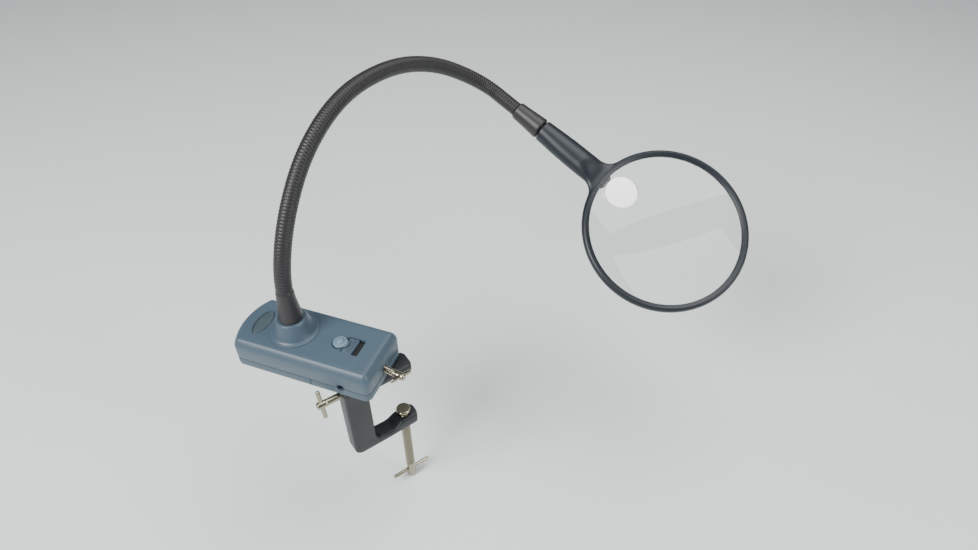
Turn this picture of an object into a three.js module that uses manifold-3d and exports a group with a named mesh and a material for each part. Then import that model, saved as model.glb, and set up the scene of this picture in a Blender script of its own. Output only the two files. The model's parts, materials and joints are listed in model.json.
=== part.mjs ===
// Clamp-on low vision magnifier: a table clamp carries a swivelling battery housing, from which
// a gooseneck rises and holds an illuminated round lens on a short handle.
// Millimetres, +Z up. The origin is the centre of the jaw pad's underside, on the table top.
import * as THREE from 'three';
import { mergeVertices } from 'three/addons/utils/BufferGeometryUtils.js';
import Module from 'manifold-3d';

const wasm = await Module();
wasm.setup();

// ---- driving dimensions -------------------------------------------------------------------

const GAP = 0.3;                    // clearance between pieces that only touch
const DEG = Math.PI / 180;

// clamp, in its own frame: +X into the table, Z = 0 on the table top
const CLAMP_TURN = 55 * DEG;        // direction of the throat, measured from the housing's length
const JAW_TOP = 7.4;
const PAD = { half: 6.6, width: 13, thick: 1.2 };
const COLUMN = { back: -40, front: -24, width: 12, foot: -55.5 };
const TONGUE = { start: -34, tip: 7.5, width: 15, under: 1.5 };
const ARM = { low: -50.2, lowX: -14.5, top: -45.5, tip: 8.4 };
const POST = { x: -15.3, r: 4, bore: 4.3, bottom: 1.8, top: 25 };
const POST_LOCK_Z = 3.2;
const FOOT = { top: -40, r: 5, thick: 2, neckR: 2.3 };
const SCREW = { r: 3.2, top: -46.1, bottom: -120.4, barZ: -112.8 };
const CLAMP_BAR = { r: 1.3, length: 30 };
const LOCK = { r: 2.15, barR: 1.15, barLength: 21 };
const POST_LOCK = { end: 40.8, bar: 37.4, lean: -15 * DEG };
const HOUSING_LOCK = { turn: -9.5 * DEG, z: 8.3, end: 23.4, bar: 20.3, lean: 117 * DEG };

// housing, in its own frame: origin under the turret, Z = 0 on the underside, +X to the lock end
const HOUSING = {
  floor: 8,                         // height of the underside above the table
  half: 21.7, right: 61.4, left: -37.5, endR: 39.5, corner: 4.5,
  part: 6.3, shoulder: 16.4, top: 20.9, inset: 2.5, wall: 2,
};
const POST_IN_HOUSING = new THREE.Vector2(53, 1.2);
const TURRET = { baseR: 14.6, topR: 8.4, top: 32.4, hole: 4.3, shelf: 25 };
const DOOR_END = 21.3;
const TRAY = { left: -30.3, right: 21.4, half: 17.9, bottom: 2.6, top: 15, wall: 1.5 };
const CELL = { r: 5.2, length: 44.5, nubR: 1.9, nub: 1, pitch: 10.8, z: 8.3 };
const SLOT = { left: 35.4, right: 47, half: 6.6 };
const KNOB = { left: 35.7, right: 42.6, half: 6.2, discX: 32.4, discR: 4.7 };
const JACK = { x: 42.1, z: 6.3, r: 1.9 };
const BADGE = { x: -22.3, y: -0.8, rx: 4.6, ry: 10.2, depth: 0.8 };
const COVER_SCREWS = [[27.5, 15.5], [57, -16.2]];

// gooseneck, in the housing's frame
const NECK_R = 5.1;                 // outside radius of the ribbed sleeve
const BALL_GAP = 0.3;
const CONDUIT_R = 3.3;
const NECK_START = new THREE.Vector3(0, 0, TURRET.top);
const NECK_JOINTS = [
  [0.4, 2.2, 66.2], [1.6, 17.8, 99.2], [4.1, 43.1, 125.9], [8.8, 75.7, 141.5],
  [15.8, 111.5, 143.9], [25.7, 146.1, 137.1], [40.8, 175.9, 121.9], [66.1, 192.8, 100.9],
].map(([x, y, z]) => new THREE.Vector3(x, y, z));
const COLLAR = { length: 28, r: 7.75, tipR: 5.25 };

// head, in its own frame: origin at the lens centre, +X away from the handle, +Z up the lens axis
const HEAD_CENTRE = new THREE.Vector3(202.9, 158, 38.5);
const HEAD_AXIS = new THREE.Vector3(0.886278, -0.225465, -0.40457).normalize();
const LENS_NORMAL = new THREE.Vector3(0.235, -0.5332, 0.8127);
const RING = { outer: 58.8, inner: 54.5, seat: 56.1, half: 3, lip: 1.6 };
const LENS = { r: 55.7, edge: 1.1, sag: 4 };
const SPOT = { x: -39.7, r: 11.3, edge: 2.6, sag: 1.9 };
const HANDLE = { start: -111.8, groove: -113, spigotR: 4.6, wall: 1.8, split: 0.4, fillet: 11 };
const HEAD_COLLAR = { start: -147.9, joint: -154.4 };
const HOOD = { back: -58.8, tip: -51.3, shortTip: -52.2, half: 4, top: -2, bottom: -6.8 };

// ---- materials ----------------------------------------------------------------------------

const finish = (color, roughness, metalness = 0) => () =>
  new THREE.MeshStandardMaterial({ color, roughness, metalness });
const blueShell = finish(0x5b7183, 0.5);
const darkCasting = finish(0x3d4144, 0.55, 0.2);
const nickel = finish(0xcac8bd, 0.25, 0.9);
const blackRubber = finish(0x2b2a2b, 0.75);
const collarPlastic = finish(0x3a3637, 0.5);
const framePlastic = finish(0x343d47, 0.4);
const innerPlastic = finish(0x4a4d50, 0.6);
const brass = finish(0xb59a55, 0.35, 0.9);
const springSteel = finish(0xb8bcc0, 0.3, 0.9);
const boardGreen = finish(0x2f6b47, 0.6);
const cellWrap = finish(0x9a8f5a, 0.4, 0.3);
const clearAcrylic = () => new THREE.MeshStandardMaterial({
  color: 0xe4eef0, roughness: 0.05, transparent: true, opacity: 0.35,
});
const frosted = () => new THREE.MeshStandardMaterial({
  color: 0xf2f2ee, roughness: 0.3, transparent: true, opacity: 0.6,
});

// ---- solids -------------------------------------------------------------------------------

// one vertex per place, and no triangle without area
function welded(geometry) {
  const bare = geometry.clone();
  bare.deleteAttribute('normal');
  bare.deleteAttribute('uv');
  const merged = mergeVertices(bare, 1e-3);
  const kept = [];
  for (let i = 0; i < merged.index.count; i += 3) {
    const corners = [0, 1, 2].map((k) => merged.index.getX(i + k));
    if (new Set(corners).size === 3) kept.push(...corners);
  }
  merged.setIndex(kept);
  return merged;
}

function solid(geometry) {
  const merged = welded(geometry);
  return new wasm.Manifold(new wasm.Mesh({
    numProp: 3,
    vertProperties: new Float32Array(merged.attributes.position.array),
    triVerts: new Uint32Array(merged.index.array),
  }));
}

function geometryOf(body) {
  const mesh = body.getMesh();
  const geometry = new THREE.BufferGeometry();
  geometry.setAttribute('position', new THREE.BufferAttribute(mesh.vertProperties, 3));
  geometry.setIndex(new THREE.BufferAttribute(mesh.triVerts, 1));
  geometry.computeVertexNormals();
  return geometry;
}

const join = (first, ...rest) => rest.reduce((body, other) => body.add(other), first);
const cut = (first, ...rest) => rest.reduce((body, other) => body.subtract(other), first);

function box(x0, x1, y0, y1, z0, z1) {
  const geometry = new THREE.BoxGeometry(x1 - x0, y1 - y0, z1 - z0);
  geometry.translate((x0 + x1) / 2, (y0 + y1) / 2, (z0 + z1) / 2);
  return geometry;
}

// upright cylinder on (x, y) from z0 to z1
function rod(r, z0, z1, x = 0, y = 0, sides = 24) {
  const geometry = new THREE.CylinderGeometry(r, r, z1 - z0, sides);
  geometry.rotateX(Math.PI / 2);
  geometry.translate(x, y, (z0 + z1) / 2);
  return geometry;
}

// solid of revolution about Z from [radius, z] pairs given from bottom to top
function turned(profile, sides = 24) {
  const points = profile.map(([r, z]) => new THREE.Vector2(r, z));
  const geometry = new THREE.LatheGeometry(points, sides);
  geometry.rotateX(Math.PI / 2);
  geometry.scale(1, -1, 1);
  return flipped(geometry);
}

// reverses the winding, for a geometry that was mirrored or given inside out
function flipped(geometry) {
  const index = geometry.index.array;
  for (let i = 0; i < index.length; i += 3) {
    [index[i], index[i + 1]] = [index[i + 1], index[i]];
  }
  return geometry;
}

function extruded(shape, z0, z1, options = {}) {
  const { curveSegments = 12, bevel = 0, rise = bevel, steps = 2 } = options;
  const points = shape.getPoints(curveSegments).filter(
    (point, i, all) => point.distanceTo(all.at(i - 1)) > 1e-3);
  const geometry = new THREE.ExtrudeGeometry(new THREE.Shape(points), {
    depth: z1 - z0 - 2 * rise,
    bevelEnabled: bevel > 0,
    bevelSize: bevel,
    bevelThickness: rise,
    bevelOffset: -bevel,
    bevelSegments: steps,
  });
  geometry.translate(0, 0, z0 + rise);
  return geometry;
}

function roundedRectangle(x0, x1, y0, y1, r) {
  const shape = new THREE.Shape();
  shape.moveTo(x0 + r, y0);
  shape.lineTo(x1 - r, y0);
  shape.absarc(x1 - r, y0 + r, r, -Math.PI / 2, 0);
  shape.lineTo(x1, y1 - r);
  shape.absarc(x1 - r, y1 - r, r, 0, Math.PI / 2);
  shape.lineTo(x0 + r, y1);
  shape.absarc(x0 + r, y1 - r, r, Math.PI / 2, Math.PI);
  shape.lineTo(x0, y0 + r);
  shape.absarc(x0 + r, y0 + r, r, Math.PI, 1.5 * Math.PI);
  return shape;
}

// places a Z-aligned geometry so that its Z axis runs along a direction from a point
function aimed(geometry, origin, direction) {
  const turn = new THREE.Quaternion().setFromUnitVectors(
    new THREE.Vector3(0, 0, 1), direction.clone().normalize());
  geometry.applyQuaternion(turn);
  geometry.translate(origin.x, origin.y, origin.z);
  return geometry;
}

function wire(points, r, sides = 6, steps = 16) {
  const section = new THREE.Shape();
  section.absarc(0, 0, r, 0, 2 * Math.PI);
  const path = new THREE.CatmullRomCurve3(points);
  const geometry = new THREE.ExtrudeGeometry(section, {
    steps, extrudePath: path, bevelEnabled: false, curveSegments: sides / 2,
  });
  return geometry;
}

// ---- scene graph --------------------------------------------------------------------------

const magnifier = new THREE.Group();
const clamp = new THREE.Group();
clamp.rotation.z = CLAMP_TURN;
magnifier.add(clamp);

const unit = new THREE.Group();
unit.position.set(
  POST.x * Math.cos(CLAMP_TURN) - POST_IN_HOUSING.x,
  POST.x * Math.sin(CLAMP_TURN) - POST_IN_HOUSING.y,
  HOUSING.floor);
magnifier.add(unit);

const head = new THREE.Group();
head.position.copy(HEAD_CENTRE);
const lensNormal = LENS_NORMAL.clone();
lensNormal.addScaledVector(HEAD_AXIS, -lensNormal.dot(HEAD_AXIS)).normalize();
const acrossHandle = new THREE.Vector3().crossVectors(lensNormal, HEAD_AXIS);
head.setRotationFromMatrix(new THREE.Matrix4().makeBasis(HEAD_AXIS, acrossHandle, lensNormal));
unit.add(head);

function place(group, name, shape, material) {
  const geometry = shape instanceof THREE.BufferGeometry ? welded(shape) : geometryOf(shape);
  geometry.computeVertexNormals();
  const mesh = new THREE.Mesh(geometry, material());
  mesh.name = name;
  group.add(mesh);
}

// ---- table clamp --------------------------------------------------------------------------

// side profile of the casting: column, tongue on the table and arched lower arm
function clampProfile() {
  const throat = 8;                 // fillet under the tongue
  const fillet = 7;                 // fillet between column and lower arm
  const shape = new THREE.Shape();
  shape.moveTo(COLUMN.back, JAW_TOP - 2);
  shape.lineTo(COLUMN.back, COLUMN.foot + 4);
  shape.quadraticCurveTo(COLUMN.back, COLUMN.foot, COLUMN.back + 4, COLUMN.foot);
  shape.lineTo(ARM.tip, COLUMN.foot + 1);
  shape.lineTo(ARM.tip, ARM.top);
  shape.lineTo(-4, ARM.top - 0.6);
  shape.quadraticCurveTo(-9, ARM.low, ARM.lowX, ARM.low);
  shape.quadraticCurveTo(COLUMN.front, ARM.low, COLUMN.front, ARM.low + fillet);
  shape.lineTo(COLUMN.front, TONGUE.under - throat);
  shape.quadraticCurveTo(COLUMN.front, TONGUE.under, COLUMN.front + throat, TONGUE.under);
  shape.lineTo(2, TONGUE.under);
  shape.lineTo(2, JAW_TOP);
  shape.lineTo(COLUMN.back + 2, JAW_TOP);
  return shape;
}

// turns a plate drawn in X-Y, and thickened along Z, so that it stands in the X-Z plane
function standing(geometry, width) {
  geometry.rotateX(Math.PI / 2);
  geometry.translate(0, width / 2, 0);
  return geometry;
}

function makeClamp() {
  const side = standing(
    extruded(clampProfile(), 0, COLUMN.width, { curveSegments: 5, bevel: 1.2 }), COLUMN.width);
  const plate = extruded(
    roundedRectangle(TONGUE.start, TONGUE.tip, -TONGUE.width / 2, TONGUE.width / 2, 3.5),
    TONGUE.under, JAW_TOP, { curveSegments: 4, bevel: 0.8 });
  const lockAxis = new THREE.Vector3(-1, 0, 0);
  const lockHole = aimed(
    rod(LOCK.r + GAP, 0, 40), new THREE.Vector3(POST.x, 0, POST_LOCK_Z), lockAxis);
  const frame = cut(
    join(solid(side), solid(plate)),
    solid(rod(POST.bore, TONGUE.under - 8, JAW_TOP + 1, POST.x)),
    solid(rod(SCREW.r + GAP, COLUMN.foot - 1, ARM.top + 1)),
    solid(lockHole));
  place(clamp, 'clamp_frame', frame, darkCasting);

  const pad = extruded(
    roundedRectangle(-PAD.half, PAD.half, -PAD.width / 2, PAD.width / 2, 3), 0, PAD.thick,
    { curveSegments: 3 });
  place(clamp, 'jaw_pad', pad, blackRubber);
}

function makeClampScrew() {
  const foot = turned([
    [0, -49.5], [FOOT.neckR, -49.5], [FOOT.neckR, FOOT.top - FOOT.thick],
    [FOOT.r, FOOT.top - FOOT.thick], [FOOT.r, FOOT.top], [0, FOOT.top],
  ]);
  place(clamp, 'pressure_foot', foot, nickel);

  const screw = turned([
    [0, SCREW.bottom], [SCREW.r - 1.2, SCREW.bottom], [SCREW.r, SCREW.bottom + 1.2],
    [SCREW.r, SCREW.top - 0.6], [SCREW.r - 0.5, SCREW.top], [FOOT.neckR + GAP, SCREW.top],
    [FOOT.neckR + GAP, -49.8], [0, -49.8],
  ]);
  const bar = (r, length) => {
    const geometry = rod(r, -length / 2, length / 2, 0, 0, 12);
    return aimed(geometry, new THREE.Vector3(0, 0, SCREW.barZ), new THREE.Vector3(1, 0, 0));
  };
  place(clamp, 'clamp_screw', cut(solid(screw), solid(bar(CLAMP_BAR.r + GAP, 12))), nickel);
  place(clamp, 'clamp_screw_bar', barWithEnds(CLAMP_BAR, (g) => aimed(
    g, new THREE.Vector3(0, 0, SCREW.barZ), new THREE.Vector3(1, 0, 0))), nickel);
}

// tommy bar with rounded ends, built along Z about its middle and then moved into place
function barWithEnds({ r, length }, move) {
  const half = length / 2;
  const profile = [
    [0, -half], [r * 0.7, -half + r * 0.3], [r, -half + r],
    [r, half - r], [r * 0.7, half - r * 0.3], [0, half],
  ];
  return move(turned(profile, 12));
}

function makePost() {
  const post = turned([
    [0, POST.bottom], [POST.r - 0.6, POST.bottom], [POST.r, POST.bottom + 0.6],
    [POST.r, POST.top - 1], [POST.r - 1, POST.top], [0, POST.top],
  ]);
  post.translate(POST.x, 0, 0);
  place(clamp, 'swivel_post', post, nickel);
}

// A lock screw, built along +X from the post's axis: a pressure tip, the screw and its bar.
// lean is the angle of the bar from upright, about the screw's axis.
function makeLock(group, name, origin, heading, { end, bar, lean }) {
  const tipStart = POST.r + GAP;
  const tipEnd = tipStart + 2.4;
  const along = new THREE.Vector3(Math.cos(heading), Math.sin(heading), 0);
  const side = new THREE.Vector3(-Math.sin(heading), Math.cos(heading), 0);
  const barDirection = new THREE.Vector3(0, 0, Math.cos(lean)).addScaledVector(side, Math.sin(lean));
  const barCentre = origin.clone().addScaledVector(along, bar);
  const barAt = (geometry) => aimed(geometry, barCentre, barDirection);

  const tip = turned([
    [0, tipStart], [LOCK.r - 0.6, tipStart], [LOCK.r, tipStart + 0.6],
    [LOCK.r, tipEnd], [0, tipEnd],
  ], 16);
  place(group, `${name}_tip`, aimed(tip, origin, along), brass);

  const screw = turned([
    [0, tipEnd + GAP], [LOCK.r, tipEnd + GAP], [LOCK.r, end - 0.9],
    [LOCK.r - 0.8, end], [0, end],
  ], 20);
  const hole = rod(LOCK.barR + GAP, -6, 6, 0, 0, 12);
  place(group, `${name}_screw`, cut(solid(aimed(screw, origin, along)), solid(barAt(hole))), nickel);
  place(group, `${name}_bar`, barWithEnds({ r: LOCK.barR, length: LOCK.barLength }, barAt), nickel);
}

// ---- battery housing ----------------------------------------------------------------------

// plan outline: straight sides, a straight right end with round corners, and a bulging left end
function housingOutline(inset = 0) {
  const { half, right, left, endR, corner } = HOUSING;
  const h = half - inset;
  const r = Math.max(corner - inset, 0.6);
  const bigR = endR - inset;
  const centreX = left + endR;
  const filletX = centreX - Math.sqrt((bigR - r) ** 2 - (h - r) ** 2);
  const reach = Math.atan2(h - r, centreX - filletX);
  const shape = new THREE.Shape();
  shape.moveTo(filletX, -h);
  shape.lineTo(right - inset - r, -h);
  shape.absarc(right - inset - r, -h + r, r, -Math.PI / 2, 0);
  shape.lineTo(right - inset, h - r);
  shape.absarc(right - inset - r, h - r, r, 0, Math.PI / 2);
  shape.lineTo(filletX, h);
  shape.absarc(filletX, h - r, r, Math.PI / 2, Math.PI - reach);
  shape.absarc(centreX, 0, bigR, Math.PI - reach, Math.PI + reach);
  shape.absarc(filletX, -h + r, r, Math.PI + reach, 1.5 * Math.PI);
  return shape;
}

// block with the housing's plan, whose upper edge curves in over the last few millimetres
function housingBlock(inset, z0, top) {
  const rise = HOUSING.top - HOUSING.shoulder;
  const block = extruded(housingOutline(inset), top - 60, top, {
    curveSegments: 5, bevel: HOUSING.inset - 0.6 * inset, rise, steps: inset > 0 ? 1 : 3,
  });
  return cut(solid(block), solid(box(-100, 100, -60, 60, top - 70, z0)));
}

const lockDirection = new THREE.Vector3(Math.cos(HOUSING_LOCK.turn), Math.sin(HOUSING_LOCK.turn), 0);
const lockOrigin = new THREE.Vector3(POST_IN_HOUSING.x, POST_IN_HOUSING.y, HOUSING_LOCK.z);
const lockHole = (r) => solid(aimed(rod(r, 0, 20), lockOrigin, lockDirection));
const jackHole = () => solid(aimed(
  rod(JACK.r, 0, 12), new THREE.Vector3(JACK.x, -HOUSING.half - 1, JACK.z), new THREE.Vector3(0, 1, 0)));

function makeTopCover() {
  const { wall, part, top } = HOUSING;
  const turret = turned([
    [0, top - wall], [TURRET.baseR + 1.4, top - wall], [TURRET.baseR + 1.4, top],
    [TURRET.baseR, top + 0.9], [TURRET.topR + 0.3, TURRET.top - 0.6],
    [TURRET.topR - 0.3, TURRET.top], [0, TURRET.top],
  ], 28);
  const ellipse = new THREE.Shape();
  ellipse.absellipse(BADGE.x, BADGE.y, BADGE.rx + GAP, BADGE.ry + GAP, 0, 2 * Math.PI);
  const bosses = COVER_SCREWS.map(([x, y]) => cut(
    solid(rod(3.2, part + 0.15, top - 1, x, y, 16)), solid(rod(1.4, part - 1, 15, x, y, 12))));
  let cover = join(housingBlock(0, part + 0.15, top), solid(turret));
  cover = cut(
    cover,
    housingBlock(wall, 0, top - wall),
    solid(rod(9.5, top - wall - 1, TURRET.shelf)),
    solid(rod(TURRET.hole, TURRET.shelf - 1, TURRET.top + 1)),
    solid(box(SLOT.left, SLOT.right, -SLOT.half, SLOT.half, top - wall - 1, top + 1)),
    solid(extruded(ellipse, top - BADGE.depth, top + 1)),
    lockHole(LOCK.r + GAP),
    jackHole());
  place(unit, 'top_cover', join(cover, ...bosses), blueShell);
}

// lower shell from the floor to the parting line, between two places along X
function lowerShell(x0, x1) {
  const { wall, part } = HOUSING;
  const outer = extruded(housingOutline(0), 0, 30, { curveSegments: 5, bevel: 0.9 });
  const inner = extruded(housingOutline(wall), wall, 30, { curveSegments: 5 });
  return solid(outer)
    .subtract(solid(inner))
    .intersect(solid(box(x0, x1, -60, 60, -1, part - 0.15)));
}

function makeBottomCover() {
  const { part, wall } = HOUSING;
  const post = POST_IN_HOUSING;
  const bosses = COVER_SCREWS.map(([x, y]) => solid(rod(4.4, 0.9, part - 0.15, x, y, 16)));
  const wells = COVER_SCREWS.map(([x, y]) => solid(rod(2.9, -1, 3, x, y, 16)));
  const shanks = COVER_SCREWS.map(([x, y]) => solid(rod(1.5, 2, part + 1, x, y, 12)));
  const cover = cut(
    join(lowerShell(DOOR_END + GAP, 100), ...bosses),
    solid(rod(POST.bore + 0.3, -1, wall + 1, post.x, post.y)),
    ...wells, ...shanks, lockHole(LOCK.r + GAP), jackHole());
  place(unit, 'bottom_cover', cover, blueShell);
  place(unit, 'battery_door', lowerShell(-100, DOOR_END), blueShell);
  COVER_SCREWS.forEach(([x, y], index) => {
    const screw = turned([[0, 0.8], [2.5, 0.8], [2.5, 2.7], [1.1, 2.7], [1.1, 13.5], [0, 14.6]], 14);
    screw.translate(x, y, 0);
    place(unit, `cover_screw_${index + 1}`, screw, springSteel);
  });
}

function makeBatteryBay() {
  const { left, right, half, bottom, top, wall } = TRAY;
  const tray = cut(
    solid(box(left, right, -half, half, bottom, top)),
    solid(box(left + wall, right - wall, -half + wall, half - wall, bottom - 1, top - 1.2)));
  place(unit, 'battery_tray', tray, innerPlastic);

  const plate = 0.5;
  const cellStart = left + wall + plate + 2 * GAP;
  const cellEnd = right - wall - plate - 2 * GAP;
  const spring = cellEnd - cellStart - CELL.length - GAP;
  [-1, 0, 1].forEach((row, index) => {
    const y = row * CELL.pitch;
    const nubRight = row !== 0;
    const cell = turned([
      [0, 0], [CELL.r - 0.4, 0], [CELL.r, 0.4], [CELL.r, CELL.length - CELL.nub - 0.4],
      [CELL.r - 0.4, CELL.length - CELL.nub], [CELL.nubR, CELL.length - CELL.nub],
      [CELL.nubR, CELL.length], [0, CELL.length],
    ], 20);
    const from = nubRight ? cellEnd - CELL.length : cellStart + CELL.length;
    aimed(cell, new THREE.Vector3(from, y, CELL.z), new THREE.Vector3(nubRight ? 1 : -1, 0, 0));
    place(unit, `battery_cell_${index + 1}`, cell, cellWrap);
    const springX = nubRight ? cellStart : cellEnd - spring;
    place(unit, `contact_spring_${index + 1}`, contactSpring(springX, spring, y, nubRight), springSteel);
  });
  const strip = (x, y0, y1) => box(x, x + plate, y0, y1, 4, 12.6);
  place(unit, 'contact_plate_1', strip(right - wall - GAP - plate, -15.4, 4.6), springSteel);
  place(unit, 'contact_plate_2', strip(left + wall + GAP, -4.6, 15.4), springSteel);
}

// conical spring of two turns along X; its wide end sits on the contact plate
function contactSpring(x0, length, y, wideLeft) {
  const turns = 2;
  const perTurn = 8;
  const wireR = 0.3;
  const points = [];
  for (let i = 0; i <= turns * perTurn; i += 1) {
    const t = i / (turns * perTurn);
    const angle = i * 2 * Math.PI / perTurn;
    const r = 3.4 - 1.5 * (wideLeft ? t : 1 - t);
    const x = x0 + wireR + t * (length - 2 * wireR);
    points.push(new THREE.Vector3(x, y + r * Math.cos(angle), CELL.z + r * Math.sin(angle)));
  }
  return wire(points, wireR, 4, turns * perTurn);
}

function makeElectrics() {
  place(unit, 'circuit_board', box(23.5, 45.4, -11.5, 11.5, 12.2, 13.8), boardGreen);
  const switchBody = cut(
    solid(box(33, 45.2, -4, 4, 14.1, 17.2)),
    solid(box(37.2, 44.5, -1.6, 1.6, 15, 18)));
  place(unit, 'switch_body', switchBody, springSteel);

  const socket = cut(
    solid(box(JACK.x - 4.5, JACK.x + 3.8, -19.4, -9.5, 2.3, 11.6)),
    solid(aimed(rod(JACK.r, 0, 8), new THREE.Vector3(JACK.x, -20, JACK.z), new THREE.Vector3(0, 1, 0))));
  place(unit, 'dc_socket', socket, blackRubber);

  const { top, wall } = HOUSING;
  const under = top - wall - GAP;
  const knob = join(
    solid(box(KNOB.left, KNOB.right, -KNOB.half, KNOB.half, under - 0.9, top - 0.5)),
    solid(box(KNOB.left - 2.2, KNOB.right, -7.8, 7.8, under - 0.9, under)),
    solid(box(37.6, 40.2, -1.2, 1.2, 15.4, under)),
    solid(box(KNOB.left, KNOB.left + 2.6, -2.4, 2.4, top - 1, top + 1.4)),
    solid(turned([
      [0, top + GAP], [KNOB.discR, top + GAP], [KNOB.discR, top + 1.1], [KNOB.discR - 0.5, top + 1.5],
      [2.7, top + 1.5], [2.4, top + 2.1], [1.4, top + 2.6], [0, top + 2.8],
    ]).translate(KNOB.discX, 0, 0)));
  place(unit, 'switch_knob', knob, blueShell);

  const oval = new THREE.Shape();
  oval.absellipse(BADGE.x, BADGE.y, BADGE.rx, BADGE.ry, 0, 2 * Math.PI);
  place(unit, 'badge',
    extruded(oval, top - BADGE.depth + GAP, top - 0.1, { curveSegments: 14 }), innerPlastic);

  const bush = cut(
    solid(rod(5.9, wall + GAP, 15.5, POST_IN_HOUSING.x, POST_IN_HOUSING.y)),
    solid(rod(POST.bore, 0, top, POST_IN_HOUSING.x, POST_IN_HOUSING.y)),
    lockHole(LOCK.r + GAP));
  place(unit, 'post_bush', bush, brass);

  const lead = wire([
    new THREE.Vector3(0, 0, 17), new THREE.Vector3(3.5, 0, 16.6), new THREE.Vector3(12, 0.6, 16.5),
    new THREE.Vector3(22, 0, 16.5), new THREE.Vector3(27, 0, 15.8), new THREE.Vector3(29, 0, 14.6),
  ], 0.7);
  place(unit, 'base_lead', lead, blackRubber);
}

// ---- gooseneck ----------------------------------------------------------------------------

// direction of the neck at each joint: towards the next joint as seen from the one before
function neckTangents() {
  return NECK_JOINTS.map((point, k) => {
    if (k === NECK_JOINTS.length - 1) return HEAD_AXIS.clone();
    const before = k === 0 ? NECK_START : NECK_JOINTS[k - 1];
    return NECK_JOINTS[k + 1].clone().sub(before).normalize();
  });
}
const tangents = neckTangents();

// smooth span between two joints, leaving and arriving along the given directions
function span(from, direction, to, arrival) {
  const pull = from.distanceTo(to) / 3;
  return new THREE.CubicBezierCurve3(
    from,
    from.clone().addScaledVector(direction, pull),
    to.clone().addScaledVector(arrival, -pull),
    to);
}

// Bends a solid of revolution about Z so that its axis follows a span. Near the start, where the
// cup of the joint lies, and beyond the end, where the ball lies, it keeps its straight form.
function bent(geometry, curve, direction, arrival) {
  const length = curve.getLength();
  const plane = new THREE.Vector3().crossVectors(direction, arrival).normalize();
  const position = geometry.attributes.position;
  const place3 = (origin, along, x, y) => {
    const side = new THREE.Vector3().crossVectors(along, plane).normalize();
    const up = new THREE.Vector3().crossVectors(along, side);
    return origin.clone().addScaledVector(side, x).addScaledVector(up, y);
  };
  const straight = 6;
  for (let i = 0; i < position.count; i += 1) {
    const x = position.getX(i);
    const y = position.getY(i);
    const z = position.getZ(i);
    const u = THREE.MathUtils.clamp(z / length, 0, 1);
    const along = curve.getTangentAt(u).normalize();
    const beyond = Math.max(z - length, 0);
    const onCurve = place3(curve.getPointAt(u).addScaledVector(along, beyond), along, x, y);
    const stiff = place3(curve.v0.clone().addScaledVector(direction, z), direction, x, y);
    const blend = THREE.MathUtils.smoothstep(z, straight, 2 * straight);
    onCurve.lerp(stiff, 1 - blend);
    position.setXYZ(i, onCurve.x, onCurve.y, onCurve.z);
  }
  return geometry;
}

// rings of a tube wall between two heights, at one radius law
function ladder(radius, z0, z1, count) {
  return Array.from({ length: count + 1 }, (_, i) => {
    const z = z0 + (z1 - z0) * i / count;
    return [typeof radius === 'number' ? radius : radius(z), z];
  });
}

// ball at the far end, from the outside wall in to the bore
function ballArc(z, r, bore, count) {
  const last = Math.acos(bore / r);
  return Array.from({ length: count }, (_, i) => {
    const angle = last * (i + 1) / count;
    return [r * Math.cos(angle), z + r * Math.sin(angle)];
  });
}

// cup at the near end, from the bore out to the outside wall
function cupArc(r, from, to, count) {
  const first = Math.acos(from / r);
  const last = Math.acos(to / r);
  return Array.from({ length: count }, (_, i) => {
    const angle = first + (last - first) * i / count;
    return [r * Math.cos(angle), r * Math.sin(angle)];
  });
}

const BORE = CONDUIT_R + 0.4;
const CUP_R = NECK_R + BALL_GAP;
const RIM_Z = Math.sqrt(CUP_R ** 2 - NECK_R ** 2);

// hollow link: cup, outside wall, ball and bore, as one closed ring profile
function sleeveProfile(length, rungs) {
  const wall = ladder(NECK_R, RIM_Z, length, rungs);
  const ball = ballArc(length, NECK_R, BORE, 3);
  const boreEnd = length + Math.sqrt(NECK_R ** 2 - BORE ** 2);
  const bore = ladder(BORE, boreEnd, Math.sqrt(CUP_R ** 2 - BORE ** 2), rungs);
  const cup = cupArc(CUP_R, BORE, NECK_R, 3);
  return [...wall, ...ball, ...bore.slice(1), ...cup.slice(1), wall[0]];
}

function makeNeck() {
  const base = span(NECK_START, new THREE.Vector3(0, 0, 1), NECK_JOINTS[0], tangents[0]);
  const baseLength = base.getLength();
  const taper = (z) => COLLAR.tipR + (COLLAR.r - COLLAR.tipR) * (1 - z / COLLAR.length) ** 1.5;
  const collarProfile = [
    [BORE, -13], [TURRET.hole - GAP, -13], [TURRET.hole - GAP, GAP],
  ];
  collarProfile[0][0] = 2.6;
  collarProfile.push(...ladder(taper, GAP, COLLAR.length, 6));
  collarProfile.push([NECK_R, COLLAR.length + 0.4], [NECK_R, baseLength]);
  collarProfile.push(...ballArc(baseLength, NECK_R, 2.6, 4));
  collarProfile.push([2.6, baseLength - 4], [2.6, 10], [2.6, -13]);
  const collar = bentFromStart(turned(collarProfile, 20), base);
  place(unit, 'neck_base_collar', collar, collarPlastic);

  const nut = cut(solid(rod(7.4, 20.6, TURRET.shelf - GAP, 0, 0, 6)), solid(rod(TURRET.hole, 20, 26)));
  place(unit, 'neck_gland_nut', nut, brass);

  for (let k = 0; k < NECK_JOINTS.length - 1; k += 1) {
    const curve = span(NECK_JOINTS[k], tangents[k], NECK_JOINTS[k + 1], tangents[k + 1]);
    const length = curve.getLength();
    const sleeve = bent(turned(sleeveProfile(length, 5), 12), curve, tangents[k], tangents[k + 1]);
    place(unit, `neck_sleeve_${k + 1}`, sleeve, blackRubber);
    const conduit = turned([
      [0, CUP_R + 1], ...ladder(CONDUIT_R, CUP_R + 1, length - 1, 5), [0, length - 1],
    ], 8);
    place(unit, `neck_conduit_${k + 1}`, bent(conduit, curve, tangents[k], tangents[k + 1]), springSteel);
  }
}

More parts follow.
